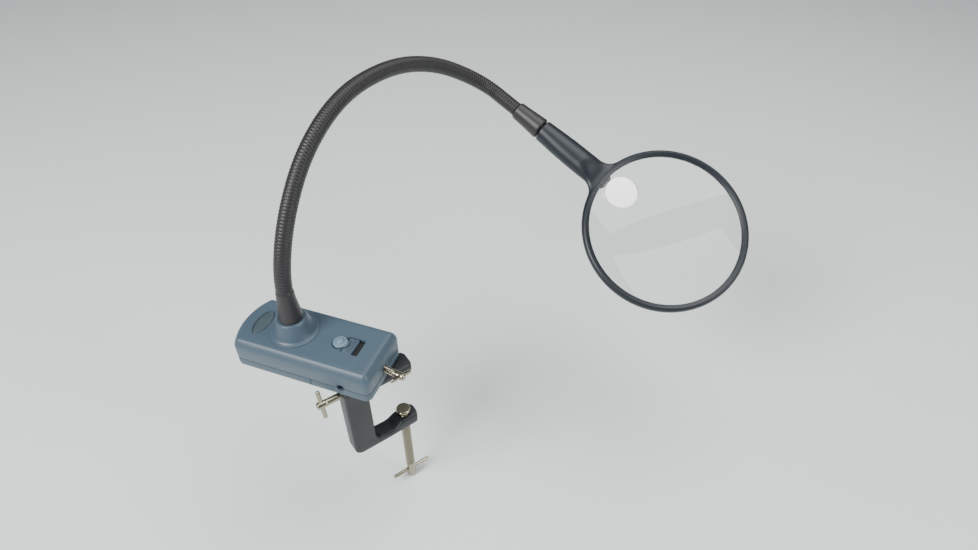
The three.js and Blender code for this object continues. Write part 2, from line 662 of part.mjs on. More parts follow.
// bends a turned piece along a span from its very start; below the start it stays upright
function bentFromStart(geometry, curve) {
  const length = curve.getLength();
  const position = geometry.attributes.position;
  const across = new THREE.Vector3(1, 0, 0);
  for (let i = 0; i < position.count; i += 1) {
    const z = position.getZ(i);
    const u = THREE.MathUtils.clamp(z / length, 0, 1);
    const along = curve.getTangentAt(u).normalize();
    const beyond = z - u * length;
    const side = across.clone().addScaledVector(along, -across.dot(along)).normalize();
    const up = new THREE.Vector3().crossVectors(along, side);
    const point = curve.getPointAt(u)
      .addScaledVector(along, beyond)
      .addScaledVector(side, position.getX(i))
      .addScaledVector(up, position.getY(i));
    position.setXYZ(i, point.x, point.y, point.z);
  }
  return geometry;
}

// ---- lens head ----------------------------------------------------------------------------

// turned piece about the handle's axis, in the head's frame
const onHandle = (geometry) => geometry.rotateY(Math.PI / 2);

// Half width and half height of the handle at x, from its end at the groove to the ring.
function handleSize(x) {
  const t = THREE.MathUtils.clamp((x - HANDLE.start) / (-RING.outer - HANDLE.start), 0, 1);
  const width = 7.8 + 1.5 * Math.sin(Math.min(t * 1.5, 1) * Math.PI / 2);
  const height = THREE.MathUtils.lerp(7.4, 6.6, Math.min(t * 1.6, 1))
    - 3.4 * THREE.MathUtils.smoothstep(t, 0.62, 1);
  return [width, height];
}

// oval bar along X whose section follows handleSize, made thinner by inset
function handleBar(x0, x1, inset, sides = 20, rings = 7) {
  const geometry = new THREE.CylinderGeometry(1, 1, x1 - x0, sides, rings);
  geometry.rotateZ(-Math.PI / 2);
  geometry.translate((x0 + x1) / 2, 0, 0);
  const position = geometry.attributes.position;
  for (let i = 0; i < position.count; i += 1) {
    const [width, height] = handleSize(position.getX(i));
    position.setY(i, position.getY(i) * (width - inset));
    position.setZ(i, position.getZ(i) * (height - inset));
  }
  return geometry;
}

// web that joins the handle to the ring, with a round fillet on both sides
function flare() {
  const rho = HANDLE.fillet;
  const [width] = handleSize(-66);
  const cy = width + rho;
  const cx = -Math.sqrt((RING.outer + rho) ** 2 - cy ** 2);
  const turn = Math.atan2(cy, -cx);
  const shape = new THREE.Shape();
  shape.moveTo(cx - 6, -width + 1);
  shape.lineTo(cx, -width);
  shape.absarc(cx, -cy, rho, Math.PI / 2, turn, true);
  shape.absarc(0, 0, RING.seat + 0.8, Math.PI + turn - 0.02, Math.PI - turn + 0.02, true);
  shape.absarc(cx, cy, rho, -turn, -Math.PI / 2, true);
  shape.lineTo(cx - 6, width - 1);
  return extruded(shape, -2.9, 2.9, { curveSegments: 6, bevel: 0.8, steps: 1 });
}

function makeLensFrame() {
  const { outer, inner, seat, half, lip } = RING;
  const ring = turned([
    [inner, lip], [inner, half - 0.5], [inner + 0.5, half], [outer - 1.4, half], [outer, half - 1.6],
    [outer, 1.6 - half], [outer - 1.4, -half], [inner + 0.5, -half], [inner, 0.5 - half],
    [inner, -lip], [seat, -lip], [seat, lip], [inner, lip],
  ].reverse(), 56);
  const spigotHole = onHandle(rod(HANDLE.spigotR + GAP, HANDLE.start - 1, -103.4));
  const hollow = handleBar(-102, -66, HANDLE.wall);
  const lensSeat = solid(rod(seat, -lip, lip, 0, 0, 56));
  const bar = cut(
    join(solid(handleBar(HANDLE.start, -57.4, 0)), solid(flare())),
    solid(rod(inner + 0.2, -10, 10, 0, 0, 56)), lensSeat);
  const lowerHalf = box(-102, -66, -12, 12, -12, -HANDLE.split);
  const frame = cut(join(bar, solid(ring)), solid(spigotHole), solid(hollow), solid(lowerHalf));
  place(head, 'lens_frame', frame, framePlastic);

  const cover = solid(handleBar(-112, -60, 0))
    .subtract(solid(handleBar(-103, -60, HANDLE.wall)))
    .intersect(solid(box(-102 + GAP, -66 - GAP, -12, 12, -12, -HANDLE.split - GAP)));
  const screwHoles = [-96, -72].map((x) => solid(rod(1.7, -9, 0, x, 0, 12)));
  place(head, 'handle_cover', cut(cover, ...screwHoles), framePlastic);
  [-96, -72].forEach((x, index) => {
    const z = -handleSize(x)[1];
    const profile = [[0, z + 0.5], [1.4, z + 0.5], [1.4, z + 1.6], [0.8, z + 2], [0.8, -0.6], [0, -0.2]];
    const screw = turned(profile, 12);
    screw.translate(x, 0, 0);
    place(head, `handle_screw_${index + 1}`, screw, springSteel);
  });
}

// biconvex disc: both faces are spherical caps of the given rise
function lensDisc(r, edge, sag, sides, rings) {
  const cap = (i) => [r * i / rings, edge + sag * (1 - (i / rings) ** 2)];
  const below = Array.from({ length: rings + 1 }, (_, i) => [cap(i)[0], -cap(i)[1]]);
  const above = Array.from({ length: rings + 1 }, (_, i) => cap(rings - i));
  return turned([...below, ...above], sides);
}

function makeOptics() {
  const spotHole = rod(SPOT.r + GAP, -10, 10, SPOT.x, 0, 28);
  const disc = lensDisc(LENS.r, LENS.edge, LENS.sag, 48, 4);
  place(head, 'main_lens', cut(solid(disc), solid(spotHole)), clearAcrylic);
  const spot = lensDisc(SPOT.r, SPOT.edge, SPOT.sag, 28, 3);
  spot.translate(SPOT.x, 0, 0);
  place(head, 'spot_lens', spot, frosted);
}

function makeLamp() {
  const { back, tip, shortTip, half, top, bottom } = HOOD;
  const bulbX = -55.4;
  const under = -RING.half - 0.4;
  const plate = (x0, tip, z0, z1) => solid(extruded(
    roundedRectangle(x0, tip, -half, half, 2.8), z0, z1, { curveSegments: 4, bevel: 0.5, steps: 1 }));
  const clear = solid(rod(RING.inner + 8, under, 5, 0, 0, 56))
    .subtract(solid(rod(RING.inner - GAP, under - 1, 6, 0, 0, 56)));
  const hood = cut(
    join(plate(back, shortTip, bottom, under), plate(-57, tip, under - 0.9, top)),
    clear, solid(rod(2.1, bottom - 1, -4.6, bulbX, 0, 16)));
  place(head, 'lamp_hood', hood, framePlastic);
  const bulb = turned([[0, -8.4], [0.9, -8.2], [1.5, -7.6], [1.8, -6.6], [1.8, -4.9], [0, -4.9]], 16);
  bulb.translate(bulbX, 0, 0);
  place(head, 'lamp_bulb', bulb, frosted);
  place(head, 'lamp_board', box(-92, -76, -4, 4, -1.2, 0), boardGreen);
}

function makeHeadCollar() {
  const end = HANDLE.groove;
  const { start, joint } = HEAD_COLLAR;
  const spigotEnd = -122;
  const bore = HANDLE.spigotR + GAP;
  const collar = turned([
    [2.6, joint + Math.sqrt(CUP_R ** 2 - 2.6 ** 2)],
    ...cupArc(CUP_R, 2.6, NECK_R, 4).slice(1).map(([r, z]) => [r, z + joint]),
    [NECK_R, joint + RIM_Z], [NECK_R, start], [5.7, start + 0.4], [6, -133], [6.7, -122],
    [7.3, -115], [7.2, end - 0.4], [6.9, end], [bore, end], [bore, spigotEnd - GAP],
    [2.6, spigotEnd - GAP], [2.6, joint + Math.sqrt(CUP_R ** 2 - 2.6 ** 2)],
  ], 20);
  place(head, 'neck_head_collar', onHandle(collar), collarPlastic);
  const spigot = turned([
    [1.6, spigotEnd], [HANDLE.spigotR, spigotEnd], [HANDLE.spigotR, -104], [1.6, -104], [1.6, spigotEnd],
  ], 20);
  place(head, 'twist_spigot', onHandle(spigot), nickel);
}

// ---- assembly -----------------------------------------------------------------------------

makeClamp();
makeClampScrew();
makePost();
makeLock(clamp, 'post_lock', new THREE.Vector3(POST.x, 0, POST_LOCK_Z), Math.PI, POST_LOCK);
makeTopCover();
makeBottomCover();
makeBatteryBay();
makeElectrics();
makeLock(unit, 'housing_lock', lockOrigin, HOUSING_LOCK.turn, HOUSING_LOCK);
makeNeck();
makeLensFrame();
makeOptics();
makeLamp();
makeHeadCollar();

export default magnifier;
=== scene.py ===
"""Looks of a clamp-on low vision magnifier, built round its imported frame.

A table clamp carries a swivelling battery housing. A gooseneck rises from the housing and holds
an illuminated round lens on a short handle. Every length below is in millimetres unless its name
ends in _m, and every mesh is built in the frame's own axes, in metres.
"""

from __future__ import annotations

import json
import logging
import math
from dataclasses import dataclass, field
from enum import Enum

import bpy
import numpy as np
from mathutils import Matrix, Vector


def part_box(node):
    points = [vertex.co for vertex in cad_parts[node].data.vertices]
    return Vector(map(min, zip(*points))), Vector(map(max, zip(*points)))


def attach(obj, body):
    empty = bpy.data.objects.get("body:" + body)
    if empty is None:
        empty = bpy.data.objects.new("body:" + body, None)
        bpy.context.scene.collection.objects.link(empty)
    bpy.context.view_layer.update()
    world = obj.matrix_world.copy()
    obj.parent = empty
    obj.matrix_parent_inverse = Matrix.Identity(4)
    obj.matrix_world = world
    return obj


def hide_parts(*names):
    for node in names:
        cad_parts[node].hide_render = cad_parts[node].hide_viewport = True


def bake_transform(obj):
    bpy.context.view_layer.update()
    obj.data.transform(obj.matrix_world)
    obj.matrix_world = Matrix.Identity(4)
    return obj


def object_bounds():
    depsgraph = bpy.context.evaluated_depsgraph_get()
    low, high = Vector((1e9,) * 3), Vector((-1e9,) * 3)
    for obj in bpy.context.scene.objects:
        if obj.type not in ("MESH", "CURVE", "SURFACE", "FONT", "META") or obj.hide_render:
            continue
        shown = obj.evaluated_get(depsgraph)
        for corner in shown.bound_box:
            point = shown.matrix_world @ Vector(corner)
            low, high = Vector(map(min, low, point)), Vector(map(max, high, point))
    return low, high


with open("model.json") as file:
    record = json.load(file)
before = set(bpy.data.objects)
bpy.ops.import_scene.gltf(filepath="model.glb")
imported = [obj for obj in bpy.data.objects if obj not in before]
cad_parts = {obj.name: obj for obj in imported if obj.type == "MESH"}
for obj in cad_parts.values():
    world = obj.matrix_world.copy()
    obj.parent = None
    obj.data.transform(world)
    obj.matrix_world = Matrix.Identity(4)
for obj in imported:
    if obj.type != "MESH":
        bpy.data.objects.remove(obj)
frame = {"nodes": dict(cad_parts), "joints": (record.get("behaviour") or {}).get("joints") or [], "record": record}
CAD_BOX = [list(corner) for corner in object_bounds()]

LOG = logging.getLogger("magnifier")
MM = 0.001
AXIS = 0.02  # radius of a turned profile's ends, close to its axis
Array = np.ndarray
Piece = bpy.types.Object
JOINTS: dict[str, dict] = {joint["name"]: joint for joint in frame["joints"]}


# ---- vectors and frames -------------------------------------------------------------------


def unit(vector: Array) -> Array:
    """Vector scaled to length one."""
    return np.asarray(vector, float) / np.linalg.norm(vector)


def corners(node: str) -> tuple[Array, Array]:
    """Lowest and highest corner of a CAD node, in millimetres."""
    low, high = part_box(node)
    return np.array(low) / MM, np.array(high) / MM


def joint_axis(name: str) -> Array:
    """Unit axis of a joint."""
    return unit(JOINTS[name]["axis"])


def joint_place(name: str) -> Array:
    """Point on a hinge's axis, in millimetres."""
    return np.array(JOINTS[name]["pos_m"], float) / MM


@dataclass(frozen=True)
class Placement:
    """A local frame: an origin and the three axes as rows of a matrix."""

    origin: Array
    axes: Array

    @classmethod
    def along(cls, origin: Array, z: Array, x_hint: Array = (1.0, 0.0, 0.0)) -> Placement:
        """Frame whose Z runs along a direction.

        Args:
            origin: Origin of the frame, in millimetres.
            z: Direction of the local Z axis.
            x_hint: Direction near which the local X axis lies.

        Returns:
            The frame, right-handed.
        """
        up = unit(z)
        side = np.asarray(x_hint, float)
        if abs(unit(side) @ up) > 0.95:
            side = np.array([0.0, 0.0, 1.0]) if abs(up[2]) < 0.9 else np.array([0.0, 1.0, 0.0])
        side = unit(side - (side @ up) * up)
        return cls(np.asarray(origin, float), np.array([side, np.cross(up, side), up]))

    def put(self, points: Array) -> Array:
        """Local points moved into the row's frame: origin plus the axes weighted by them."""
        return np.asarray(points, float) @ self.axes + self.origin


# ---- surfaces ------------------------------------------------------------------------------


@dataclass
class Shell:
    """Points and faces of one closed surface, in millimetres."""

    points: Array
    faces: list[list[int]]


def loft(grid: Array, closed: bool = False) -> Shell:
    """Closed surface over a grid of points.

    Point (i, j) is station i along the piece and place j round it. Neighbouring stations are
    joined by quads, and each end station is closed by a fan about its mean point. With closed
    set, the last station joins the first instead.

    Args:
        grid: Array of stations by places by three.
        closed: Whether the stations form a ring.

    Returns:
        The surface, facing outwards.
    """
    stations, places, _ = grid.shape
    index = np.arange(stations * places).reshape(stations, places)
    turned = np.roll(index, -1, axis=1)
    low = index if closed else index[:-1]
    low_turned = turned if closed else turned[:-1]
    high = np.roll(index, -1, axis=0) if closed else index[1:]
    high_turned = np.roll(turned, -1, axis=0) if closed else turned[1:]
    quads = np.stack([low, low_turned, high_turned, high], axis=-1).reshape(-1, 4)
    points = grid.reshape(-1, 3)
    blocks = [quads]
    if not closed:
        centres = np.array([grid[0].mean(axis=0), grid[-1].mean(axis=0)])
        first, last = len(points), len(points) + 1
        points = np.vstack([points, centres])
        blocks.append(np.stack([np.full(places, first), turned[0], index[0]], axis=-1))
        blocks.append(np.stack([np.full(places, last), index[-1], turned[-1]], axis=-1))
    return oriented(points, blocks)


def oriented(points: Array, blocks: list[Array]) -> Shell:
    """Shell whose faces point outwards.

    The volume is a sixth of the sum of the triangle corners' triple products, and the faces
    are turned round where it is negative.

    Args:
        points: Vertices, in millimetres.
        blocks: Vertex numbers of the faces, one row each, in blocks of one number of corners.

    Returns:
        The shell.
    """
    volume = 0.0
    for block in blocks:
        corner = points[block]
        for k in range(1, block.shape[1] - 1):
            volume += np.einsum("ij,ij->", corner[:, 0], np.cross(corner[:, k], corner[:, k + 1]))
    order = 1 if volume > 0 else -1
    return Shell(points, [face for block in blocks for face in block[:, ::order].tolist()])


def revolve(profile: Array, sides: int = 48) -> Array:
    """Grid of a profile turned about Z: (r cos t, r sin t, z) at every angle t.

    Args:
        profile: Rows of radius and height.
        sides: Number of angles.

    Returns:
        Grid of profile rows by sides.
    """
    angle = np.linspace(0, 2 * np.pi, sides, endpoint=False)
    radius, height = np.asarray(profile, float).T
    return np.stack(
        [
            radius[:, None] * np.cos(angle),
            radius[:, None] * np.sin(angle),
            np.repeat(height[:, None], sides, axis=1),
        ],
        axis=-1,
    )


def rod(radius: float, low: float, high: float, sides: int = 32) -> Shell:
    """Round bar along Z with flat ends."""
    return loft(revolve(np.array([(radius, low), (radius, high)]), sides))


def rounded(points: list[tuple[float, float]], radius: float, steps: int = 4) -> Array:
    """Open polyline with each inner corner replaced by a quadratic curve.

    The curve starts and ends at the given distance from the corner, or at half of the shorter
    side, and takes the corner as its control point.

    Args:
        points: Corners of the polyline.
        radius: Distance kept from each corner.
        steps: Points on each curve.

    Returns:
        The polyline's points.
    """
    corner = np.asarray(points, float)
    out = [corner[:1]]
    share = np.linspace(0, 1, steps)[:, None]
    for before, here, after in zip(corner[:-2], corner[1:-1], corner[2:]):
        back, ahead = before - here, after - here
        reach = min(radius, np.linalg.norm(back) / 2, np.linalg.norm(ahead) / 2)
        start, end = here + unit(back) * reach, here + unit(ahead) * reach
        out.append((1 - share) ** 2 * start + 2 * share * (1 - share) * here + share**2 * end)
    out.append(corner[-1:])
    return np.vstack(out)


def turned(profile: list[tuple[float, float]], place: Placement, sides: int = 48,
           soft: float = 0.25) -> Shell:
    """Turned piece whose corners are eased.

    Args:
        profile: Radius and height from one end to the other.
        place: Frame whose Z is the piece's axis.
        sides: Number of sides.
        soft: Size of the eased corners.

    Returns:
        The surface.
    """
    return placed(loft(revolve(rounded(profile, soft), sides)), place)


def placed(shell: Shell, place: Placement) -> Shell:
    """Shell moved into the row's frame."""
    return Shell(place.put(shell.points), shell.faces)


def slab(outline: Array, low: float, high: float, edge: float, steps: int = 4) -> Shell:
    """Flat piece with rounded upper and lower edges.

    Each ring is the outline moved inwards by edge times one minus the cosine of an angle,
    while its height goes as the angle's sine.

    Args:
        outline: Closed plan, counter-clockwise, in X and Y.
        low: Height of the lower face.
        high: Height of the upper face.
        edge: Radius of the edges.
        steps: Rings on each edge.

    Returns:
        The surface, in its own frame.
    """
    tangent = np.roll(outline, -1, axis=0) - np.roll(outline, 1, axis=0)
    inward = np.stack([-tangent[:, 1], tangent[:, 0]], axis=-1)
    inward /= np.linalg.norm(inward, axis=1, keepdims=True)
    angle = np.linspace(0, np.pi / 2, steps)
    inset = edge * (1 - np.sin(angle))
    rise = edge * (1 - np.cos(angle))
    insets = np.concatenate([inset, inset[::-1]])
    heights = np.concatenate([low + rise, high - rise[::-1]])
    plan = outline[None] + insets[:, None, None] * inward[None]
    level = np.repeat(heights[:, None, None], len(outline), axis=1)
    return loft(np.concatenate([plan, level], axis=-1))


def rounded_rectangle(x0: float, x1: float, y0: float, y1: float, radius: float,
                      steps: int = 6) -> Array:
    """Closed plan of a rectangle with round corners, counter-clockwise.

    Each corner is a quarter circle, c + radius (cos t, sin t).

    Args:
        x0: Lowest X.
        x1: Highest X.
        y0: Lowest Y.
        y1: Highest Y.
        radius: Radius of the corners.
        steps: Points on each corner.

    Returns:
        Rows of X and Y.
    """
    angle = np.linspace(0, np.pi / 2, steps)
    centres = [(x1 - radius, y0 + radius), (x1 - radius, y1 - radius),
               (x0 + radius, y1 - radius), (x0 + radius, y0 + radius)]
    arcs = [
        np.array(centre) + radius * np.stack([np.cos(angle + turn), np.sin(angle + turn)], axis=-1)
        for centre, turn in zip(centres, (-np.pi / 2, 0, np.pi / 2, np.pi))
    ]
    return np.vstack(arcs)


def ellipse(cx: float, cy: float, rx: float, ry: float, sides: int = 56) -> Array:
    """Closed plan of an ellipse, counter-clockwise."""
    angle = np.linspace(0, 2 * np.pi, sides, endpoint=False)
    return np.stack([cx + rx * np.cos(angle), cy + ry * np.sin(angle)], axis=-1)


# ---- objects -------------------------------------------------------------------------------


def make(name: str, *shells: Shell, crease: float = 32.0) -> Piece:
    """Object holding one or more closed surfaces.

    Args:
        name: Name of the piece.
        shells: Surfaces, in millimetres.
        crease: Angle in degrees above which an edge is kept sharp.

    Returns:
        The object, at the origin.
    """
    mesh = bpy.data.meshes.new(name)
    offsets = np.cumsum([0, *[len(shell.points) for shell in shells]])
    faces = [
        [number + int(offset) for number in face]
        for shell, offset in zip(shells, offsets)
        for face in shell.faces
    ]
    points = np.vstack([shell.points for shell in shells]) * MM
    mesh.from_pydata(points.tolist(), [], faces)
    piece = bpy.data.objects.new(name, mesh)
    bpy.context.scene.collection.objects.link(piece)
    soften(piece, crease)
    return piece


def soften(piece: Piece, crease: float = 32.0) -> None:
    """Smooth shading, with edges steeper than the crease kept sharp.

    Args:
        piece: Object to shade.
        crease: Angle in degrees above which an edge is kept sharp.
    """
    mesh = piece.data
    mesh.validate()
    mesh.polygons.foreach_set("use_smooth", np.ones(len(mesh.polygons), bool))
    mesh.set_sharp_from_angle(angle=math.radians(crease))
    mesh.update()


def carve(piece: Piece, cutters: list[Piece]) -> Piece:
    """Piece with the cutters' volumes taken out of it.

    Args:
        piece: Closed body to cut.
        cutters: Closed bodies, removed afterwards.

    Returns:
        The same object with its new mesh.
    """
    for cutter in cutters:
        cut = piece.modifiers.new("cut", "BOOLEAN")
        cut.operation = "DIFFERENCE"
        cut.solver = "EXACT"
        cut.object = cutter
    graph = bpy.context.evaluated_depsgraph_get()
    mesh = bpy.data.meshes.new_from_object(piece.evaluated_get(graph))
    piece.modifiers.clear()
    old = piece.data
    piece.data = mesh
    bpy.data.meshes.remove(old)
    for cutter in cutters:
        bpy.data.objects.remove(cutter, do_unlink=True)
    soften(piece)
    return piece


def merged(name: str, pieces: list[Piece]) -> Piece:
    """One object made of several, which are removed.

    Args:
        name: Name of the new object.
        pieces: Objects at the origin.

    Returns:
        The new object.
    """
    shells = []
    for piece in pieces:
        mesh = piece.data
        flat = np.empty(len(mesh.vertices) * 3)
        mesh.vertices.foreach_get("co", flat)
        faces = [list(polygon.vertices) for polygon in mesh.polygons]
        shells.append(Shell(flat.reshape(-1, 3) / MM, faces))
        bpy.data.objects.remove(piece, do_unlink=True)
    return make(name, *shells)


# ---- finishes ------------------------------------------------------------------------------


class Effect(Enum):
    """Node groups shared by the finishes."""

    GRAIN = "moulding grain"
    SCUFF = "handling marks"


def new_group(effect: Effect, inputs: dict[str, float], outputs: dict[str, str]) -> bpy.types.NodeTree:
    """Empty node group with named sockets.

    Args:
        effect: Which effect it makes.
        inputs: Default value by name, all numbers.
        outputs: Socket type by name.

    Returns:
        The node tree, holding its input and output nodes.
    """
    tree = bpy.data.node_groups.new(effect.value, "ShaderNodeTree")
    for name, value in inputs.items():
        socket = tree.interface.new_socket(name, in_out="INPUT", socket_type="NodeSocketFloat")
        socket.default_value = value
    for name, kind in outputs.items():
        tree.interface.new_socket(name, in_out="OUTPUT", socket_type=kind)
    tree.nodes.new("NodeGroupInput")
    tree.nodes.new("NodeGroupOutput")
    return tree


def grain_group() -> bpy.types.NodeTree:
    """Fine grain with a broad unevenness under it.

    Height is a fine noise plus a share of a coarse one. Tone is a slow noise about one, for
    the colour. Both read object coordinates, in metres.

    Returns:
        The node group, made once.
    """
    if Effect.GRAIN.value in bpy.data.node_groups:
        return bpy.data.node_groups[Effect.GRAIN.value]
    tree = new_group(
        Effect.GRAIN,
        {"Grain Scale": 2500.0, "Tone Scale": 60.0, "Tone Range": 0.1},
        {"Height": "NodeSocketFloat", "Tone": "NodeSocketFloat"},
    )
    nodes, link = tree.nodes, tree.links.new
    source, sink = nodes["Group Input"], nodes["Group Output"]
    where = nodes.new("ShaderNodeTexCoord")
    fine = nodes.new("ShaderNodeTexNoise")
    fine.inputs["Detail"].default_value = 3
    broad = nodes.new("ShaderNodeTexNoise")
    broad.inputs["Detail"].default_value = 4
    for noise, scale in ((fine, "Grain Scale"), (broad, "Tone Scale")):
        link(where.outputs["Object"], noise.inputs["Vector"])
        link(source.outputs[scale], noise.inputs["Scale"])
    height = nodes.new("ShaderNodeMath")
    height.operation = "MULTIPLY_ADD"
    height.inputs[1].default_value = 0.6
    link(broad.outputs["Fac"], height.inputs[0])
    link(fine.outputs["Fac"], height.inputs[2])
    centred = nodes.new("ShaderNodeMath")
    centred.operation = "SUBTRACT"
    centred.inputs[1].default_value = 0.5
    tone = nodes.new("ShaderNodeMath")
    tone.operation = "MULTIPLY_ADD"
    tone.inputs[2].default_value = 1.0
    link(broad.outputs["Fac"], centred.inputs[0])
    link(centred.outputs[0], tone.inputs[0])
    link(source.outputs["Tone Range"], tone.inputs[1])
    link(height.outputs[0], sink.inputs["Height"])
    link(tone.outputs[0], sink.inputs["Tone"])
    return tree


def scuff_group() -> bpy.types.NodeTree:
    """Short fine scratches and smudges from handling.

    Mask is a stretched noise raised above a threshold, times a slow noise, so that marks come
    in patches.

    Returns:
        The node group, made once.
    """
    if Effect.SCUFF.value in bpy.data.node_groups:
        return bpy.data.node_groups[Effect.SCUFF.value]
    tree = new_group(
        Effect.SCUFF,
        {"Mark Scale": 300.0, "Threshold": 0.62, "Strength": 0.3},
        {"Mask": "NodeSocketFloat"},
    )
    nodes, link = tree.nodes, tree.links.new
    source, sink = nodes["Group Input"], nodes["Group Output"]
    where = nodes.new("ShaderNodeTexCoord")
    stretch = nodes.new("ShaderNodeMapping")
    stretch.inputs["Rotation"].default_value = (0.4, 0.7, 0.3)
    stretch.inputs["Scale"].default_value = (1.0, 0.12, 1.0)
    marks = nodes.new("ShaderNodeTexNoise")
    patches = nodes.new("ShaderNodeTexNoise")
    patches.inputs["Scale"].default_value = 45.0
    link(where.outputs["Object"], stretch.inputs["Vector"])
    link(stretch.outputs["Vector"], marks.inputs["Vector"])
    link(source.outputs["Mark Scale"], marks.inputs["Scale"])
    link(where.outputs["Object"], patches.inputs["Vector"])
    above = nodes.new("ShaderNodeMath")
    above.operation = "SUBTRACT"
    above.use_clamp = True
    link(marks.outputs["Fac"], above.inputs[0])
    link(source.outputs["Threshold"], above.inputs[1])
    patched = nodes.new("ShaderNodeMath")
    patched.operation = "MULTIPLY"
    link(above.outputs[0], patched.inputs[0])
    link(patches.outputs["Fac"], patched.inputs[1])
    strong = nodes.new("ShaderNodeMath")
    strong.operation = "MULTIPLY"
    strong.use_clamp = True
    link(patched.outputs[0], strong.inputs[0])
    link(source.outputs["Strength"], strong.inputs[1])
    link(strong.outputs[0], sink.inputs["Mask"])
    return tree


def linear(red: int, green: int, blue: int) -> tuple[float, float, float, float]:
    """Scene colour of a display colour given as three bytes.

    Args:
        red: Red, 0 to 255.
        green: Green, 0 to 255.
        blue: Blue, 0 to 255.

    Returns:
        Linear red, green and blue with a full alpha.
    """
    share = np.array([red, green, blue]) / 255
    value = np.where(share <= 0.04045, share / 12.92, ((share + 0.055) / 1.055) ** 2.4)
    return (*map(float, value), 1.0)


@dataclass(frozen=True)
class Finish:
    """An opaque or metal surface finish."""

    name: str
    colour: tuple[float, float, float, float]
    roughness: float = 0.5
    metallic: float = 0.0
    grain_scale: float = 2500.0
    grain_depth: float = 0.01
    tone_scale: float = 60.0
    tone_range: float = 0.12
    scuff: float = 2.0
    roughness_range: float = 0.08
    specular: float = 0.5

    def build(self) -> bpy.types.Material:
        """The finish as a material, made once.

        Returns:
            The material.
        """
        if self.name in bpy.data.materials:
            return bpy.data.materials[self.name]
        material = bpy.data.materials.new(self.name)
        material.use_nodes = True
        material.diffuse_color = self.colour
        nodes, link = material.node_tree.nodes, material.node_tree.links.new
        shader = nodes["Principled BSDF"]
        shader.inputs["Metallic"].default_value = self.metallic
        shader.inputs["Specular IOR Level"].default_value = self.specular

        grain = nodes.new("ShaderNodeGroup")
        grain.node_tree = grain_group()
        grain.inputs["Grain Scale"].default_value = self.grain_scale
        grain.inputs["Tone Scale"].default_value = self.tone_scale
        grain.inputs["Tone Range"].default_value = self.tone_range
        marks = nodes.new("ShaderNodeGroup")
        marks.node_tree = scuff_group()
        marks.inputs["Strength"].default_value = self.scuff

        tinted = nodes.new("ShaderNodeMix")
        tinted.data_type = "RGBA"
        tinted.blend_type = "MULTIPLY"
        tinted.inputs["Factor"].default_value = 1.0
        tinted.inputs["A"].default_value = self.colour
        link(grain.outputs["Tone"], tinted.inputs["B"])
        worn = nodes.new("ShaderNodeMix")
        worn.data_type = "RGBA"
        paler = tuple(min(1.0, 1.35 * channel + 0.015) for channel in self.colour[:3])
        worn.inputs["B"].default_value = (*paler, 1.0)
        link(tinted.outputs["Result"], worn.inputs["A"])
        link(marks.outputs["Mask"], worn.inputs["Factor"])
        link(worn.outputs["Result"], shader.inputs["Base Color"])

        rough = nodes.new("ShaderNodeMath")
        rough.operation = "MULTIPLY_ADD"
        rough.use_clamp = True
        rough.inputs[1].default_value = self.roughness_range
        rough.inputs[2].default_value = self.roughness - self.roughness_range / 2
        link(grain.outputs["Height"], rough.inputs[0])
        link(rough.outputs[0], shader.inputs["Roughness"])

        bump = nodes.new("ShaderNodeBump")
        bump.inputs["Strength"].default_value = 0.5
        bump.inputs["Distance"].default_value = self.grain_depth * MM
        link(grain.outputs["Height"], bump.inputs["Height"])
        link(bump.outputs["Normal"], shader.inputs["Normal"])
        return material


@dataclass(frozen=True)
class ClearFinish:
    """A clear or frosted finish, with an optional painted glow that makes a part which is no lamp look lit."""

    name: str
    colour: tuple[float, float, float, float]
    roughness: float = 0.0
    ior: float = 1.49
    transmission: float = 1.0
    painted_glow: float = 0.0

    def build(self) -> bpy.types.Material:
        """The finish as a material, made once.

        Returns:
            The material.
        """
        if self.name in bpy.data.materials:
            return bpy.data.materials[self.name]
        material = bpy.data.materials.new(self.name)
        material.use_nodes = True
        nodes, link = material.node_tree.nodes, material.node_tree.links.new
        shader = nodes["Principled BSDF"]
        shader.inputs["Base Color"].default_value = self.colour
        shader.inputs["IOR"].default_value = self.ior
        shader.inputs["Transmission Weight"].default_value = self.transmission
        grain = nodes.new("ShaderNodeGroup")
        grain.node_tree = grain_group()
        grain.inputs["Grain Scale"].default_value = 400.0
        rough = nodes.new("ShaderNodeMath")
        rough.operation = "MULTIPLY_ADD"
        rough.use_clamp = True
        rough.inputs[1].default_value = 0.02
        rough.inputs[2].default_value = self.roughness
        link(grain.outputs["Height"], rough.inputs[0])
        link(rough.outputs[0], shader.inputs["Roughness"])
        # Painted light: emission that makes a part which gives no light look bright.
        if self.painted_glow:
            shader.inputs["Emission Color"].default_value = self.colour
            shader.inputs["Emission Strength"].default_value = self.painted_glow
        return material


SHELL = Finish("blue grey moulded plastic", linear(70, 87, 100), 0.38, grain_depth=0.02, tone_range=0.08)
CASTING = Finish("dark slate casting", linear(30, 33, 37), 0.42, grain_scale=1100.0, grain_depth=0.05,
                 tone_range=0.2, specular=0.45)
NICKEL = Finish("bright nickel", linear(162, 156, 136), 0.17, metallic=1.0, grain_scale=1800.0,
                grain_depth=0.004, tone_range=0.12, roughness_range=0.12)
SLEEVE = Finish("ribbed sleeve", linear(36, 34, 36), 0.42, grain_depth=0.01, tone_range=0.2)
COLLAR = Finish("collar plastic", linear(40, 37, 39), 0.4, grain_depth=0.01, tone_range=0.12)
HEAD = Finish("head frame plastic", linear(24, 31, 38), 0.36, grain_depth=0.002, tone_range=0.1)
BUTTON = Finish("pale button plastic", linear(104, 128, 144), 0.26, grain_depth=0.004)
INNER = Finish("inner plastic", linear(74, 77, 80), 0.6)
BADGE = Finish("oval inlay", linear(66, 80, 86), 0.42, grain_depth=0.004)
# Near-black plastic of the socket parts, also put on the switch skirt as painted shade in the well.
SOCKET_AND_PAINTED_SHADE = Finish("socket plastic and painted well shade", linear(22, 22, 24), 0.5)
RUBBER = Finish("pad rubber", linear(38, 37, 38), 0.75, grain_depth=0.03, specular=0.3)
